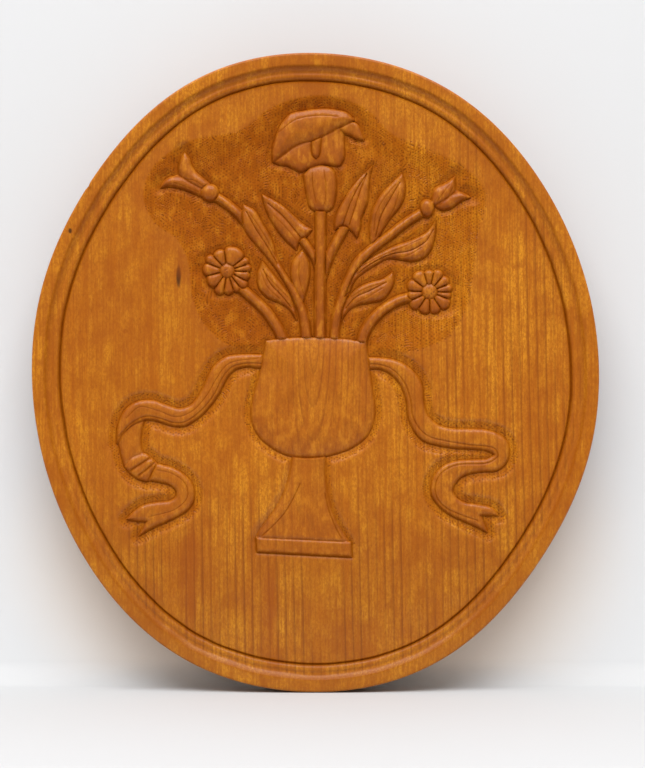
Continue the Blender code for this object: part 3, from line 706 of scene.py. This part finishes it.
def vase():
    """Stem, foot plate and bowl of the vase, back to front."""
    stem = Form(curves(
        [(293, 452), (291, 468), (288, 481), (284, 493), (278, 505), (270, 517), (258, 534)],
        [(257, 541)], [(350, 546)],
        [(348, 541), (339, 527), (332, 512), (327.5, 495), (325, 475), (323, 452)]),
        level=-0.37, crown=0.50, roll=8.0, dish=STEM_DISH, reach=STEM_REACH,
        ribs=(knife_line([(300, 484), (293, 499), (284, 514), (272, 527),
                          (262, 536)], 0.13, 1.1),
              knife_line([(325, 494), (329, 511), (335, 526), (341, 538)], 0.13, 1.1)))
    foot = Form(curves(
        [(256, 538)], [(257, 552.5)], [(352, 557.5)], [(351, 542.5)]),
        level=-0.13, crown=0.30, roll=2.2, dish=FOOT_DISH, reach=FOOT_REACH)
    bowl = Form(curves(
        [(266, 341), (264, 353), (261.5, 366), (257.5, 382), (253, 398), (251, 413), (253, 426),
         (260, 438), (271, 447.5), (284, 454.5), (297, 457.5), (310, 458), (323, 457),
         (338, 453.5), (353, 447.5), (365, 438.5), (372.5, 426), (375, 411), (373, 394),
         (370, 374), (368, 356)],
        [(366, 342.5), (345, 339.5), (321, 338), (297, 338), (280, 339)]),
        level=-0.43, crown=0.80, roll=34, dish=BOWL_DISH, reach=BOWL_REACH)
    return [stem, foot, bowl]


def sunk_ground():
    """Border of the ground that is cut down behind the bouquet."""
    border = [(262, 352), (225, 343), (203, 322), (192, 296), (188, 262), (176, 238), (154, 222),
              (143, 195), (152, 168), (188, 141), (240, 130), (272, 107), (318, 95), (364, 107),
              (392, 133), (430, 149), (468, 169), (486, 192), (479, 232), (474, 272),
              (467, 308), (447, 338), (410, 352), (370, 354), (318, 358)]
    line = through(on_plaque(border + border[:1]))
    return counter_clockwise(thinned(line, FINE_TOLERANCE)[:-1])


def patches(points, size, seed):
    """Smooth random values from -1 to 1 over the board, each patch about the given size."""
    table = np.random.default_rng(seed).uniform(-1.0, 1.0, (256, 256))
    at = points / np.array(size) + 128.0
    cell = np.floor(at).astype(int)
    share = ease(at - cell)
    i, j = cell[:, 0] % 256, cell[:, 1] % 256
    k, m = (i + 1) % 256, (j + 1) % 256
    low = table[i, j] * (1 - share[:, 0]) + table[k, j] * share[:, 0]
    high = table[i, m] * (1 - share[:, 0]) + table[k, m] * share[:, 0]
    return low * (1 - share[:, 1]) + high * share[:, 1]


def rough(points, sizes, seed):
    """Patches of a wide and a narrow size in one, the narrow ones weaker."""
    wide, narrow = sizes
    return patches(points, wide, seed) + NARROW_SHARE * patches(points, narrow, seed + 1)


class Carving:
    """All the forms, back to front, and the ground sunk around them."""

    def __init__(self):
        self.forms = bouquet() + left_ribbon() + right_ribbon() + vase()
        for i, form in enumerate(self.forms):
            form.over = self.forms[i + 1:]
        self.ground = sunk_ground()
        self.discs = [disc for petals, disc in zip(self.forms, self.forms[1:]) if petals.parted]
        for form in self.forms:
            form.veins = ()
        for route in VEINS:
            vein = knife_line(route, VEIN_CUT, VEIN_WIDTH)
            middle = vein[0][len(vein[0]) // 2][None]
            under_it = [form for form in self.forms if form.depth_in(middle, WALL)[0] > 0]
            under_it[-1].veins += (vein,)

    def shape(self, points):
        """Height over the back, the shares of dots and cover, and the shares of finish and painted
        shade.
        """
        into = signed_distance(points, self.ground)
        relief = -GROUND_DEPTH * ease(into / GROUND_SLOPE)
        dots = ease((into + PUNCH_FADE) / (2 * PUNCH_FADE))
        tone_and_shade = ease((into + TONE_FADE / 2) / TONE_FADE)
        tone_and_shade *= 1 - PALE_SIDE * ease((points[:, 0] - PALE_FROM) / PALE_ACROSS)
        for form in self.forms:
            away = -form.depth_in(points, form.reach + PUNCH_FADE)
            relief = np.minimum(relief, -form.dish * ease(1 - away / form.reach))
            beside_it = ease((DOTTED_DISH * form.reach - away) / PUNCH_FADE + DOTTED_FADE)
            if form.dish == STEM_DISH:
                beside_it *= points[:, 0] > form.centre[0]
                beside_it *= points[:, 1] > form.outline[:, 1].min()
            if form.dish not in (BOUQUET_DISH, FOOT_DISH):
                dots = np.maximum(dots, beside_it)
        sunk = dots * (0.5 + 0.5 * tone_and_shade)
        cut = np.zeros(len(points))
        cover = np.zeros(len(points))
        bowl = np.zeros(len(points))
        for form in self.forms:
            margin = 4 * WALL + SHADE_WIDTH
            depth = form.depth_in(points, margin)
            near = depth > -margin
            if not near.any():
                continue
            here = depth[near]
            at = points[near]
            # Painted shade: the edge darkens most where the form stands above the point, under its
            # edge
            above = form.depth_in(at + (0.0, LOOK_UP), form.reach)
            under = np.clip(0.5 + 0.5 * (above - here) / LOOK_UP, 0.0, 1.0)
            foot = np.clip(1 - np.abs(here + WALL) / CUT_WIDTH, 0.0, 1.0)
            stand = np.clip(1 + here / WALL, 0.0, 1.0)
            low = relief[near] - CUT_DEPTH * foot * (here < 0)
            own = form.surface(at, np.maximum(here, 0.0))
            knife = np.zeros(len(at))
            for i, (line, depth_of_cut, width) in enumerate([*form.ribs, *form.veins]):
                line_away = distance_to_line(at, line)
                knife = np.maximum(knife, np.clip(KNIFE_SPREAD - line_away / width, 0.0, 1.0))
                if i >= len(form.ribs):
                    own -= depth_of_cut * np.clip(1 - line_away / width, 0.0, 1.0)
                elif form.dish == BOUQUET_DISH and not form.parted:
                    own -= VALLEY_DEPTH * np.clip(1 - line_away / VALLEY_WIDTH, 0.0, 1.0)
            relief[near] = low + stand * (own - low)
            # Painted shade along the form's edge, strongest under it
            edge = EDGE_LIT + (1 - EDGE_LIT) * under
            edge *= np.exp(-np.abs(here) / SHADE_WIDTH)
            cut[near] = np.where(here > 0, np.maximum(KNIFE_DARK * knife, edge),
                                 np.maximum(cut[near], edge))
            # Painted shade: each form darker towards its low side, away from the light above
            height = np.ptp(form.outline[:, 1])
            lower = np.clip(0.5 - (at[:, 1] - form.centre[1]) / height, 0.0, 1.0)
            carved = 1.0 if form.dish == BOUQUET_DISH else PLAIN_TONE
            tone_and_shade[near] += stand * (carved * (FORM_TONE + LOW_SIDE_SHADE * lower) - tone_and_shade[near])
            dotted = DISC_DOTS if form in self.discs else 0.0
            dots[near] += stand * (dotted - dots[near])
            sunk[near] *= 1 - stand
            cover[near] = np.maximum(cover[near], stand)
            if form.dish == BOWL_DISH:
                bowl[near] = stand
        return (FIELD_LEVEL + relief, dots, cover,
                {"sunk": sunk, "tone_and_shade": tone_and_shade, "cut": cut, "bowl": bowl})

    def lines(self):
        """Mesh lines: each form's edge, its foot, its shoulder and its knife lines."""
        found = []
        for form in self.forms:
            for piece in form.pieces:
                found += self.visible(form, piece, 0.0)
            found += self.parallel(form, -WALL)
            found += self.parallel(form, -WALL - CUT_WIDTH)
            found += self.parallel(form, SHOULDER * form.roll)
            for row in form.rows:
                found += self.visible(form, row, WALL)
            for line, _, width in [*form.ribs, *form.veins]:
                side = normals(line) * width
                for row in (line, line + side, line - side):
                    found += self.visible(form, row, WALL)
        return found

    def parallel(self, form, inset):
        """Stretches of line at one distance from a form's edge, inside it or outside."""
        line = beside(form.outline, -inset)
        line = resampled(np.vstack((line, line[:1])), LOOK_SPACING)
        off = np.abs(signed_distance(line, form.outline) - inset)
        return self.uncovered(form, line, off < LINE_SLACK * abs(inset) + CURVE_TOLERANCE)

    def visible(self, form, line, least_depth):
        """Stretches of a line that lie deep enough in their form and under no later one."""
        line = resampled(line, LOOK_SPACING)
        real = np.ones(len(line), dtype=bool)
        if least_depth > 0.0:
            real = form.depth_in(line, WALL) > least_depth
        return self.uncovered(form, line, real)

    def uncovered(self, form, line, real):
        """The real stretches of a line that no later form covers."""
        for other in form.over:
            real = real & (other.depth_in(line, WALL) < -WALL * COVERED)
        return stretches(line, real, CURVE_TOLERANCE)

    def busy(self, points):
        """Whether each point lies in or near the carving, where the mesh is fine."""
        near = signed_distance(points, self.ground) > -ZONE_MARGIN
        for form in self.forms:
            margin = ZONE_MARGIN + form.reach
            near |= form.depth_in(points, margin) > -margin
        return near


# Board

def add(name, data):
    """An object in the scene that holds the data."""
    made = bpy.data.objects.new(name, data)
    bpy.context.scene.collection.objects.link(made)
    return made


def outline():
    """The sawn outline: an oval with the slight unevenness of work done by eye."""
    turn = np.linspace(0.0, 2 * math.pi, RIM_FACETS, endpoint=False)
    radius = 2 * np.hypot(np.cos(turn) / PLAQUE_WIDTH, np.sin(turn) / PLAQUE_HEIGHT)
    uneven = np.ones(RIM_FACETS)
    for waves, cosine, sine in OUTLINE_WAVES:
        uneven += cosine * np.cos(waves * turn) + sine * np.sin(waves * turn)
    radius = uneven / radius
    return np.column_stack((radius * np.cos(turn), radius * np.sin(turn)))


def rim_profile():
    """Moulding from the back inwards: inset, height over the back, and share of hand wobble."""
    profile = [(BACK_ROUND, 0.0, 0.0), (BACK_ROUND * 0.3, BACK_ROUND * 0.3, 0.0),
               (0.0, BACK_ROUND, 0.0)]
    for share in np.linspace(0.0, 1.0, 6):
        angle = share * math.pi / 2
        profile.append((EDGE_ROUND * (1 - math.cos(angle)),
                        THICKNESS - EDGE_ROUND * (1 - math.sin(angle)), 0.0))
    for share in (0.3, 0.6, 0.85):
        profile.append((EDGE_ROUND + (RIM_WIDTH - EDGE_ROUND) * share, THICKNESS, share * 0.5))
    for share in np.linspace(0.0, 1.0, 9):
        profile.append((RIM_WIDTH + COVE_WIDTH * share,
                        THICKNESS - COVE_DROP * math.sin(share * math.pi / 2), 1.0))
    bead_start = RIM_WIDTH + COVE_WIDTH
    bead_end = bead_start + BEAD_WIDTH
    fall = (FIELD_DROP - COVE_DROP) / 2
    for share in np.linspace(0.0, 1.0, 6)[1:]:
        profile.append((bead_start + BEAD_WIDTH * share,
                        THICKNESS - COVE_DROP - fall * share
                        + BEAD_CROWN * math.sin(share * math.pi), 0.8))
    bead_level = THICKNESS - COVE_DROP - fall
    for share in (0.35, 0.5, 0.65):
        low = FIELD_LEVEL - GROOVE_DEPTH
        side = bead_level if share < 0.5 else FIELD_LEVEL
        reach = abs(share - 0.5) * 2
        profile.append((bead_end + GROOVE_WIDTH * share, low + (side - low) * reach, 0.6))
    profile.append((bead_end + GROOVE_WIDTH, FIELD_LEVEL, 0.6))
    profile.append((bead_end + GROOVE_WIDTH + GROOVE_LIP, FIELD_LEVEL, 0.6))
    return profile


def lattice(edge, spacing):
    """Rows of staggered points over the field, bent a little, and every third one marked."""
    low, high = edge.min(axis=0), edge.max(axis=0)
    step = spacing * math.sqrt(3) / 2
    columns = np.arange(math.ceil((high[0] - low[0]) / spacing))
    rows = np.arange(math.ceil((high[1] - low[1]) / step))
    i, n = np.meshgrid(columns, rows)
    i, n = i.ravel(), n.ravel()
    points = np.column_stack((low[0] + (i + (n % 2) / 2) * spacing, low[1] + n * step))
    marked = (i - n // 2 - n) % 3 == 0
    bend = np.column_stack([patches(points, LATTICE_PATCH, seed) for seed in (3, 4)])
    shake = np.random.default_rng(5).uniform(-1.0, 1.0, points.shape)
    points = points + bend * spacing * LATTICE_BEND + shake * spacing * LATTICE_SHAKE
    return points, marked


def clear_of(points, others, gap):
    """Whether each point keeps the gap to all the other points."""
    tree = KDTree(len(others))
    for i, (x, z) in enumerate(others):
        tree.insert((x, z, 0.0), i)
    tree.balance()
    return np.array([tree.find((x, z, 0.0))[2] > gap for x, z in points])


def field_mesh(edge):
    """Carved field within the groove: points, triangles, sources, and marked points."""
    carving = Carving()
    points = [tuple(point) for point in edge]
    links = [(i, (i + 1) % len(edge)) for i in range(len(edge))]
    for line in carving.lines():
        before = False
        for point, clear in zip(line, signed_distance(line, edge) > 2 * WALL):
            if clear:
                points.append(tuple(point))
                if before:
                    links.append((len(points) - 2, len(points) - 1))
            before = clear
    fine, marked = lattice(edge, FINE_SPACING)
    near = carving.busy(fine) & (signed_distance(fine, edge) > FINE_SPACING)
    fine, marked = fine[near], marked[near]
    clear = clear_of(fine, points, FINE_SPACING * LINE_GAP)
    fine, marked = fine[clear], marked[clear]
    coarse, _ = lattice(edge, COARSE_SPACING)
    far = ~carving.busy(coarse) & (signed_distance(coarse, edge) > COARSE_SPACING * 0.5)
    coarse = coarse[far]
    punched_from = len(points)
    punched_to = punched_from + len(fine)
    points += [tuple(point) for point in fine] + [tuple(point) for point in coarse]
    found, _, triangles, sources, _, _ = delaunay_2d_cdt(
        [Vector(point) for point in points], links, [], 0, SHORTEST_EDGE)
    flat = np.array([tuple(point) for point in found])
    punch = np.zeros(len(flat), dtype=bool)
    for i, source in enumerate(sources):
        if source and punched_from <= source[0] < punched_to:
            punch[i] = marked[source[0] - punched_from]
    return carving, flat, triangles, sources, punch


def build_plaque():
    """The finished board in one mesh, with the shares of finish and painted shade on its points.
    """
    rim = outline()
    inward = normals(rim, closed=True)
    turn = np.linspace(0.0, 2 * math.pi, RIM_FACETS, endpoint=False)
    around = np.column_stack((np.cos(turn), np.sin(turn)))
    profile = rim_profile()
    # Painted shade down the cove and dark finish in the groove, carried on the rim's points as the
    # cut share
    rim_stain_and_shade = np.zeros((len(profile), RIM_FACETS))
    rim_stain_and_shade[-len(RIM_STAIN_AND_SHADE):] = np.array(RIM_STAIN_AND_SHADE)[:, None]
    nick = np.zeros(RIM_FACETS)
    nick[round(NICK_AT / (2 * math.pi) * RIM_FACETS)] = 1.0
    verts = []
    for row, (inset, height, hand) in enumerate(profile):
        wobble = HAND_WOBBLE * hand * rough(around, WOBBLE_SIZES, 11)
        dip = TOOL_MARK * hand * (1 + patches(around, DIP_SIZE, 20 + row // 3))
        if row >= len(profile) - 2:
            dip = 0 * dip
        edge = inset < EDGE_ROUND and height > THICKNESS / 2
        rim_stain_and_shade[row] += NICK_STAIN * nick * edge
        loop = rim + inward * (inset + TRIM + wobble + NICK_DEPTH * nick * edge)[:, None]
        verts += [(x, -(height - low), z) for (x, z), low in zip(loop, dip)]
    last = loop
    faces = [tuple(reversed(range(RIM_FACETS)))]
    for row in range(len(profile) - 1):
        for i in range(RIM_FACETS):
            j = (i + 1) % RIM_FACETS
            low, high = row * RIM_FACETS, (row + 1) * RIM_FACETS
            faces.append((low + i, low + j, high + j, high + i))

    carving, flat, triangles, sources, punch = field_mesh(last)
    height, dots, cover, shares = carving.shape(flat)
    rng = np.random.default_rng(7)
    struck = punch & (dots > PUNCH_EDGE + PUNCH_STRAY * rng.uniform(size=len(flat)))
    strength = np.where(struck, rng.uniform(PUNCH_LEAST, 1.0, len(flat)), 0.0)
    height = height - PUNCH_DEPTH * strength
    facets = TOOL_MARK * rough(flat, FACET_SIZES, 31) + SWELL * patches(flat, SWELL_SIZE, 33)
    worked = np.where(cover > 0.5, 1.0, 0.5) * ease(signed_distance(flat, last) / EDGE_FADE)
    height = np.minimum(height + facets * worked, THICKNESS - FRONT_MARGIN)

    last_loop = (len(profile) - 1) * RIM_FACETS
    number = []
    own = []
    for i, ((x, z), up, source) in enumerate(zip(flat, height, sources)):
        on_edge = [original for original in source if original < RIM_FACETS]
        if on_edge:
            number.append(last_loop + on_edge[0])
        else:
            number.append(len(verts))
            verts.append((x, -up, z))
            own.append(i)
    faces += [tuple(number[corner] for corner in triangle) for triangle in triangles]

    mesh = bpy.data.meshes.new("carved_plaque")
    mesh.from_pydata(verts, [], faces)
    shares["punch"] = strength
    for name, values in shares.items():
        board = rim_stain_and_shade.ravel() if name == "cut" else np.zeros(rim_stain_and_shade.size)
        values = np.concatenate((board, values[own]))
        layer = mesh.attributes.new(name, "FLOAT", "POINT")
        layer.data.foreach_set("value", values.astype(np.float32))
    mesh.shade_smooth()
    mesh.set_sharp_from_angle(angle=SHARP_ANGLE)
    return add("carved_plaque", mesh)


# Materials

class Nodes:
    """Short calls for making and linking the nodes of one tree."""

    def __init__(self, tree):
        self.tree = tree

    def node(self, kind, inputs, **settings):
        """A node with its settings made and its inputs linked or set."""
        made = self.tree.nodes.new("ShaderNode" + kind)
        for name, value in settings.items():
            setattr(made, name, value)
        for socket, value in inputs.items():
            self.feed(made.inputs[socket], value)
        return made

    def feed(self, socket, value):
        """Links an output to a socket, or sets the socket's own value."""
        if isinstance(value, bpy.types.NodeSocket):
            self.tree.links.new(value, socket)
        else:
            socket.default_value = value

    def math(self, operation, a, b=0.0):
        """One piece of arithmetic on two values."""
        return self.node("Math", {0: a, 1: b}, operation=operation).outputs[0]

    def plus(self, a, b):
        """Sum of two values."""
        return self.math("ADD", a, b)

    def minus(self, a, b):
        """The first value less the second."""
        return self.math("SUBTRACT", a, b)

    def times(self, a, b):
        """Product of two values."""
        return self.math("MULTIPLY", a, b)

    def band(self, value, low, high, start=0.0, end=1.0):
        """Smooth change of a value from start to end as it goes from low to high."""
        return self.node("MapRange", {"Value": value, "From Min": low, "From Max": high,
                                      "To Min": start, "To Max": end},
                         interpolation_type="SMOOTHSTEP").outputs["Result"]

    def blot(self, x, z, sway, place_x, place_z, half_x, half_z):
        """Share that fades out from a place, over a half width and a half height."""
        off_x = self.plus(self.minus(x, place_x), self.times(sway, half_x))
        off_x = self.math("POWER", self.math("DIVIDE", off_x, half_x), 2.0)
        off_z = self.math("DIVIDE", self.minus(z, place_z), half_z)
        away = self.plus(off_x, self.math("POWER", off_z, 2.0))
        return self.band(away, 1.0, 0.1)

    def coordinates(self, kind):
        """Texture coordinates of one kind, and their X, Y and Z."""
        place = self.node("TexCoord", {}).outputs[kind]
        return place, *self.node("SeparateXYZ", {0: place}).outputs

    def noise(self, vector, scale, detail=2.0, roughness=0.5):
        """Noise over coordinates scaled apart along X, Y and Z."""
        scaled = self.node("VectorMath", {0: vector, 1: scale}, operation="MULTIPLY").outputs[0]
        return self.node("TexNoise", {"Vector": scaled, "Scale": 1.0, "Detail": detail,
                                      "Roughness": roughness}).outputs["Fac"]

    def tint(self, factor, colour, other, blend="MIX"):
        """A colour blended with another by a factor."""
        return self.node("Mix", {0: factor, 6: colour, 7: other}, data_type="RGBA",
                         blend_type=blend).outputs[2]

    def layered(self, colour, layers):
        """A colour with others laid over it in turn, each by its share."""
        for share, other in layers:
            colour = self.tint(share, colour, (*other, 1))
        return colour

    def late_wood(self, across, rings):
        """Thin dark line at the end of each growth ring, rings to the metre."""
        ring = self.math("FRACT", self.times(across, rings))
        return self.times(self.band(ring, 0.58, 0.90), self.band(ring, 1.0, 0.92))

    def share(self, name):
        """A share stored on the mesh points."""
        return self.node("Attribute", {}, attribute_name=name).outputs["Fac"]


def new_material(name):
    """A new material, its nodes and its shader."""
    material = bpy.data.materials.new(name)
    material.use_nodes = True
    n = Nodes(material.node_tree)
    return material, n, n.tree.nodes["Principled BSDF"]


def varnished_wood():
    """Honey-orange varnished hardwood with upright grain, growth rings, darkened cuts and painted
    shade on the carving and rim.
    """
    material, n, shader = new_material("varnished_wood_grain")
    place, x, y, z = n.coordinates("Object")

    # Growth rings: upright over the right and low field, arched over the bowl
    sway = n.minus(n.noise(place, (9.0, 9.0, 2.4), 3.0), 0.5)
    across = n.plus(x, n.times(sway, 0.008))
    tilted = n.plus(across, n.times(z, 0.018))
    broken = n.band(n.noise(place, (34.0, 34.0, 5.0), 3.0), 0.30, 0.58)
    right, low = n.band(x, 0.02, 0.12, 0.0, 0.62), n.band(z, -0.06, -0.15, 0.0, 0.68)
    faint = n.times(n.times(broken, n.math("MAXIMUM", right, low)), n.band(y, *RING_FADE))
    upright = n.times(n.late_wood(tilted, FIELD_RINGS), faint)
    down = n.times(n.minus(z, BOWL_TOP), BOWL_SLOPE)
    wavy = n.plus(across, n.times(sway, 0.014))
    arch = n.math("SQRT", n.plus(n.math("POWER", wavy, 2.0), n.math("POWER", down, 2.0)))
    arches = n.times(n.late_wood(arch, BOWL_RINGS), n.share("bowl"))
    uneven = n.band(n.noise(place, (30.0, 30.0, 7.0), 2.0), 0.35, 0.60, 0.12, 0.64)
    late = n.math("MAXIMUM", upright, n.times(arches, uneven))

    fibre = n.noise(place, (560.0, 560.0, 20.0), 3.0, 0.6)
    grain = n.noise(place, (620.0, 620.0, 380.0), 3.0, 0.65)
    streak = n.noise(place, (120.0, 120.0, 6.0), 3.0, 0.55)
    mottle = n.noise(place, (62.0, 62.0, 46.0), 4.0, 0.62)
    wide = n.noise(place, (9.0, 9.0, 5.0), 2.0)
    cloud = n.noise(place, (30.0, 30.0, 20.0), 4.0, 0.6)
    pore = n.band(n.noise(place, (1500.0, 1500.0, 140.0), 1.0), 0.66, 0.74)
    figure = n.noise(place, (150.0, 150.0, 75.0), 4.0, 0.65)
    tone_and_shade, cut = n.share("tone_and_shade"), n.share("cut")
    punch, sunk = n.share("punch"), n.share("sunk")

    # The bare board, darkened below by painted shade, then its flaws, then the finish that the
    # carving holds, with painted shade on the carving
    colour = n.tint(n.band(wide, 0.36, 0.64), (0.49, 0.160, 0.006, 1), (0.65, 0.245, 0.012, 1))
    colour = n.layered(colour, (
        (n.band(cloud, 0.40, 0.64, 0.0, 0.70), (0.41, 0.113, 0.005)),
        (n.band(mottle, 0.50, 0.68, 0.0, 0.40), (0.72, 0.295, 0.014)),
        (n.band(mottle, 0.49, 0.34, 0.0, 0.50), (0.33, 0.078, 0.002)),
        (n.band(streak, 0.42, 0.66, 0.0, 0.50), (0.42, 0.108, 0.002)),
        (n.band(grain, 0.43, 0.59, 0.0, 0.50), (0.34, 0.082, 0.002)),
        (n.band(fibre, 0.42, 0.62, 0.0, 0.50), (0.34, 0.082, 0.002)),
        (n.times(late, 0.80), (0.19, 0.042, 0.002)),
        (n.times(pore, 0.35), (0.20, 0.044, 0.002))))
    # Painted shade: the board darker towards its bottom, where less light falls
    colour = n.tint(n.band(z, -0.04, -0.24), colour, (0.88, 0.92, 0.95, 1), "MULTIPLY")
    for name, spot in FLAWS.items():
        strength, dark = BLACK_MARK if name in BLACK_FLAWS else BROWN_MARK
        colour = n.layered(colour, [(n.times(n.blot(x, z, sway, *spot), strength), dark)])
    worked = n.band(tone_and_shade, 0.1, 0.9)
    colour = n.layered(colour, (
        # Darker finish on the ground, and painted shade on the low side of each form
        (n.times(tone_and_shade, 0.62), (0.34, 0.080, 0.002)),
        (n.times(worked, n.band(figure, 0.50, 0.34, 0.0, 0.42)), (0.20, 0.046, 0.002)),
        (n.times(worked, n.band(figure, 0.50, 0.66, 0.0, 0.38)), (0.72, 0.275, 0.016)),
        (n.band(sunk, 0.45, 1.0, 0.0, 0.26), (0.28, 0.060, 0.002)),
        (n.band(punch, 0.22, 0.80, 0.0, 0.68), (0.15, 0.034, 0.002)),
        # Painted shade under the forms' edges and down the rim's cove, and darkening in knife
        # lines and the groove
        (n.times(cut, 0.58), (0.15, 0.026, 0.001))))
    n.feed(shader.inputs["Base Color"], colour)

    rough_grain = n.band(grain, 0.3, 0.7, 0.34, 0.46)
    n.feed(shader.inputs["Roughness"], n.plus(rough_grain, n.times(tone_and_shade, 0.12)))
    matt = n.math("MAXIMUM", sunk, cut)
    n.feed(shader.inputs["Specular IOR Level"], n.band(matt, 0.1, 0.6, 0.13, 0.05))
    n.feed(shader.inputs["Coat Weight"], n.band(matt, 0.1, 0.6, 0.24, 0.03))
    shader.inputs["Coat Roughness"].default_value = 0.20

    relief = n.plus(n.times(grain, 0.6), n.plus(n.times(mottle, 0.6), n.times(late, 0.3)))
    relief = n.minus(relief, n.times(pore, 0.4))
    bump = n.node("Bump", {"Strength": 0.7, "Distance": 0.00018, "Height": relief})
    n.feed(shader.inputs["Normal"], bump.outputs["Normal"])
    return material


def studio_paper():
    """Matt off-white paper, with painted warm bounce light from the board on the wall, grey far in
    front of it.
    """
    material, n, shader = new_material("studio_paper")
    place, x, forward, level = n.coordinates("Object")
    cloud = n.noise(place, (3.0, 3.0, 3.0), 2.0)
    pale = n.tint(cloud, (0.712, 0.733, 0.753, 1), (0.738, 0.760, 0.782, 1))
    pale = n.layered(pale, (
        # Painted warm bounce light from the board, over its shadow on the wall
        (n.times(n.blot(x, level, 0.0, *PAINTED_BOUNCE), 0.85), (0.84, 0.71, 0.58)),
        (n.band(level, FLOOR + 1.2 * SWEEP_RADIUS, FLOOR), (0.586, 0.605, 0.620)),
        (n.band(forward, -0.40, -0.85), (0.25, 0.245, 0.24))))
    n.feed(shader.inputs["Base Color"], pale)
    shader.inputs["Roughness"].default_value = 0.9
    shader.inputs["Specular IOR Level"].default_value = 0.2
    return material


plaque = build_plaque()
plaque.data.materials.append(varnished_wood())
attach(plaque, "root")
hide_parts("plaque")

# Studio: a paper sheet that is floor, sweep and wall in one, as rows of (y, z) across the room
rows = [(-STAGE_REACH, FLOOR)]
rows += [(WALL_BEHIND - SWEEP_RADIUS * (1 - math.sin(turn)),
          FLOOR + SWEEP_RADIUS * (1 - math.cos(turn)))
         for turn in np.linspace(0.0, math.pi / 2, SWEEP_STEPS)]
rows += [(WALL_BEHIND, STAGE_HEIGHT)]
paper = bpy.data.meshes.new("studio_sweep")
paper.from_pydata([(side * STAGE_REACH, y, z) for y, z in rows for side in (-1, 1)], [],
                  [(2 * i, 2 * i + 1, 2 * i + 3, 2 * i + 2) for i in range(len(rows) - 1)])
paper.shade_smooth()
paper.materials.append(studio_paper())
add("studio_sweep", paper)

panel = bpy.data.lights.new("overhead", "AREA")
panel.shape = "RECTANGLE"
panel.size, panel.size_y = LIGHT_SIZE
panel.energy = LIGHT_POWER
panel.color = LIGHT_COLOUR
light = add("overhead", panel)
light.location = LIGHT_AT
aim = Vector(LIGHT_AIM) - Vector(LIGHT_AT)
light.rotation_euler = aim.to_track_quat("-Z", "Y").to_euler()

world = bpy.data.worlds.new("studio")
world.use_nodes = True
n = Nodes(world.node_tree)
_, _, forward, up = n.coordinates("Generated")
room = n.tree.nodes["Background"]
room.inputs["Color"].default_value = ROOM_COLOUR
n.feed(room.inputs["Strength"],
       n.plus(n.band(forward, -0.3, 0.4, 0.54, 0.56), n.band(up, 0.0, 0.8, 0.0, 0.28)))
bpy.context.scene.world = world
bpy.context.scene.view_settings.view_transform = "Standard"

# Camera: level and square to the board
view = bpy.data.cameras.new("camera")
view.sensor_fit = "VERTICAL"
view.sensor_height = SENSOR
view.lens = SENSOR * DISTANCE / (PICTURE[1] * SQUARE)
camera = add("camera", view)
camera.location = ((PICTURE[0] / 2 - SHEET_CENTRE[0]) * SQUARE, -THICKNESS - DISTANCE,
                   (SHEET_CENTRE[1] - PICTURE[1] / 2) * SQUARE)
camera.rotation_euler = (math.pi / 2, 0.0, 0.0)
bpy.context.scene.camera = camera
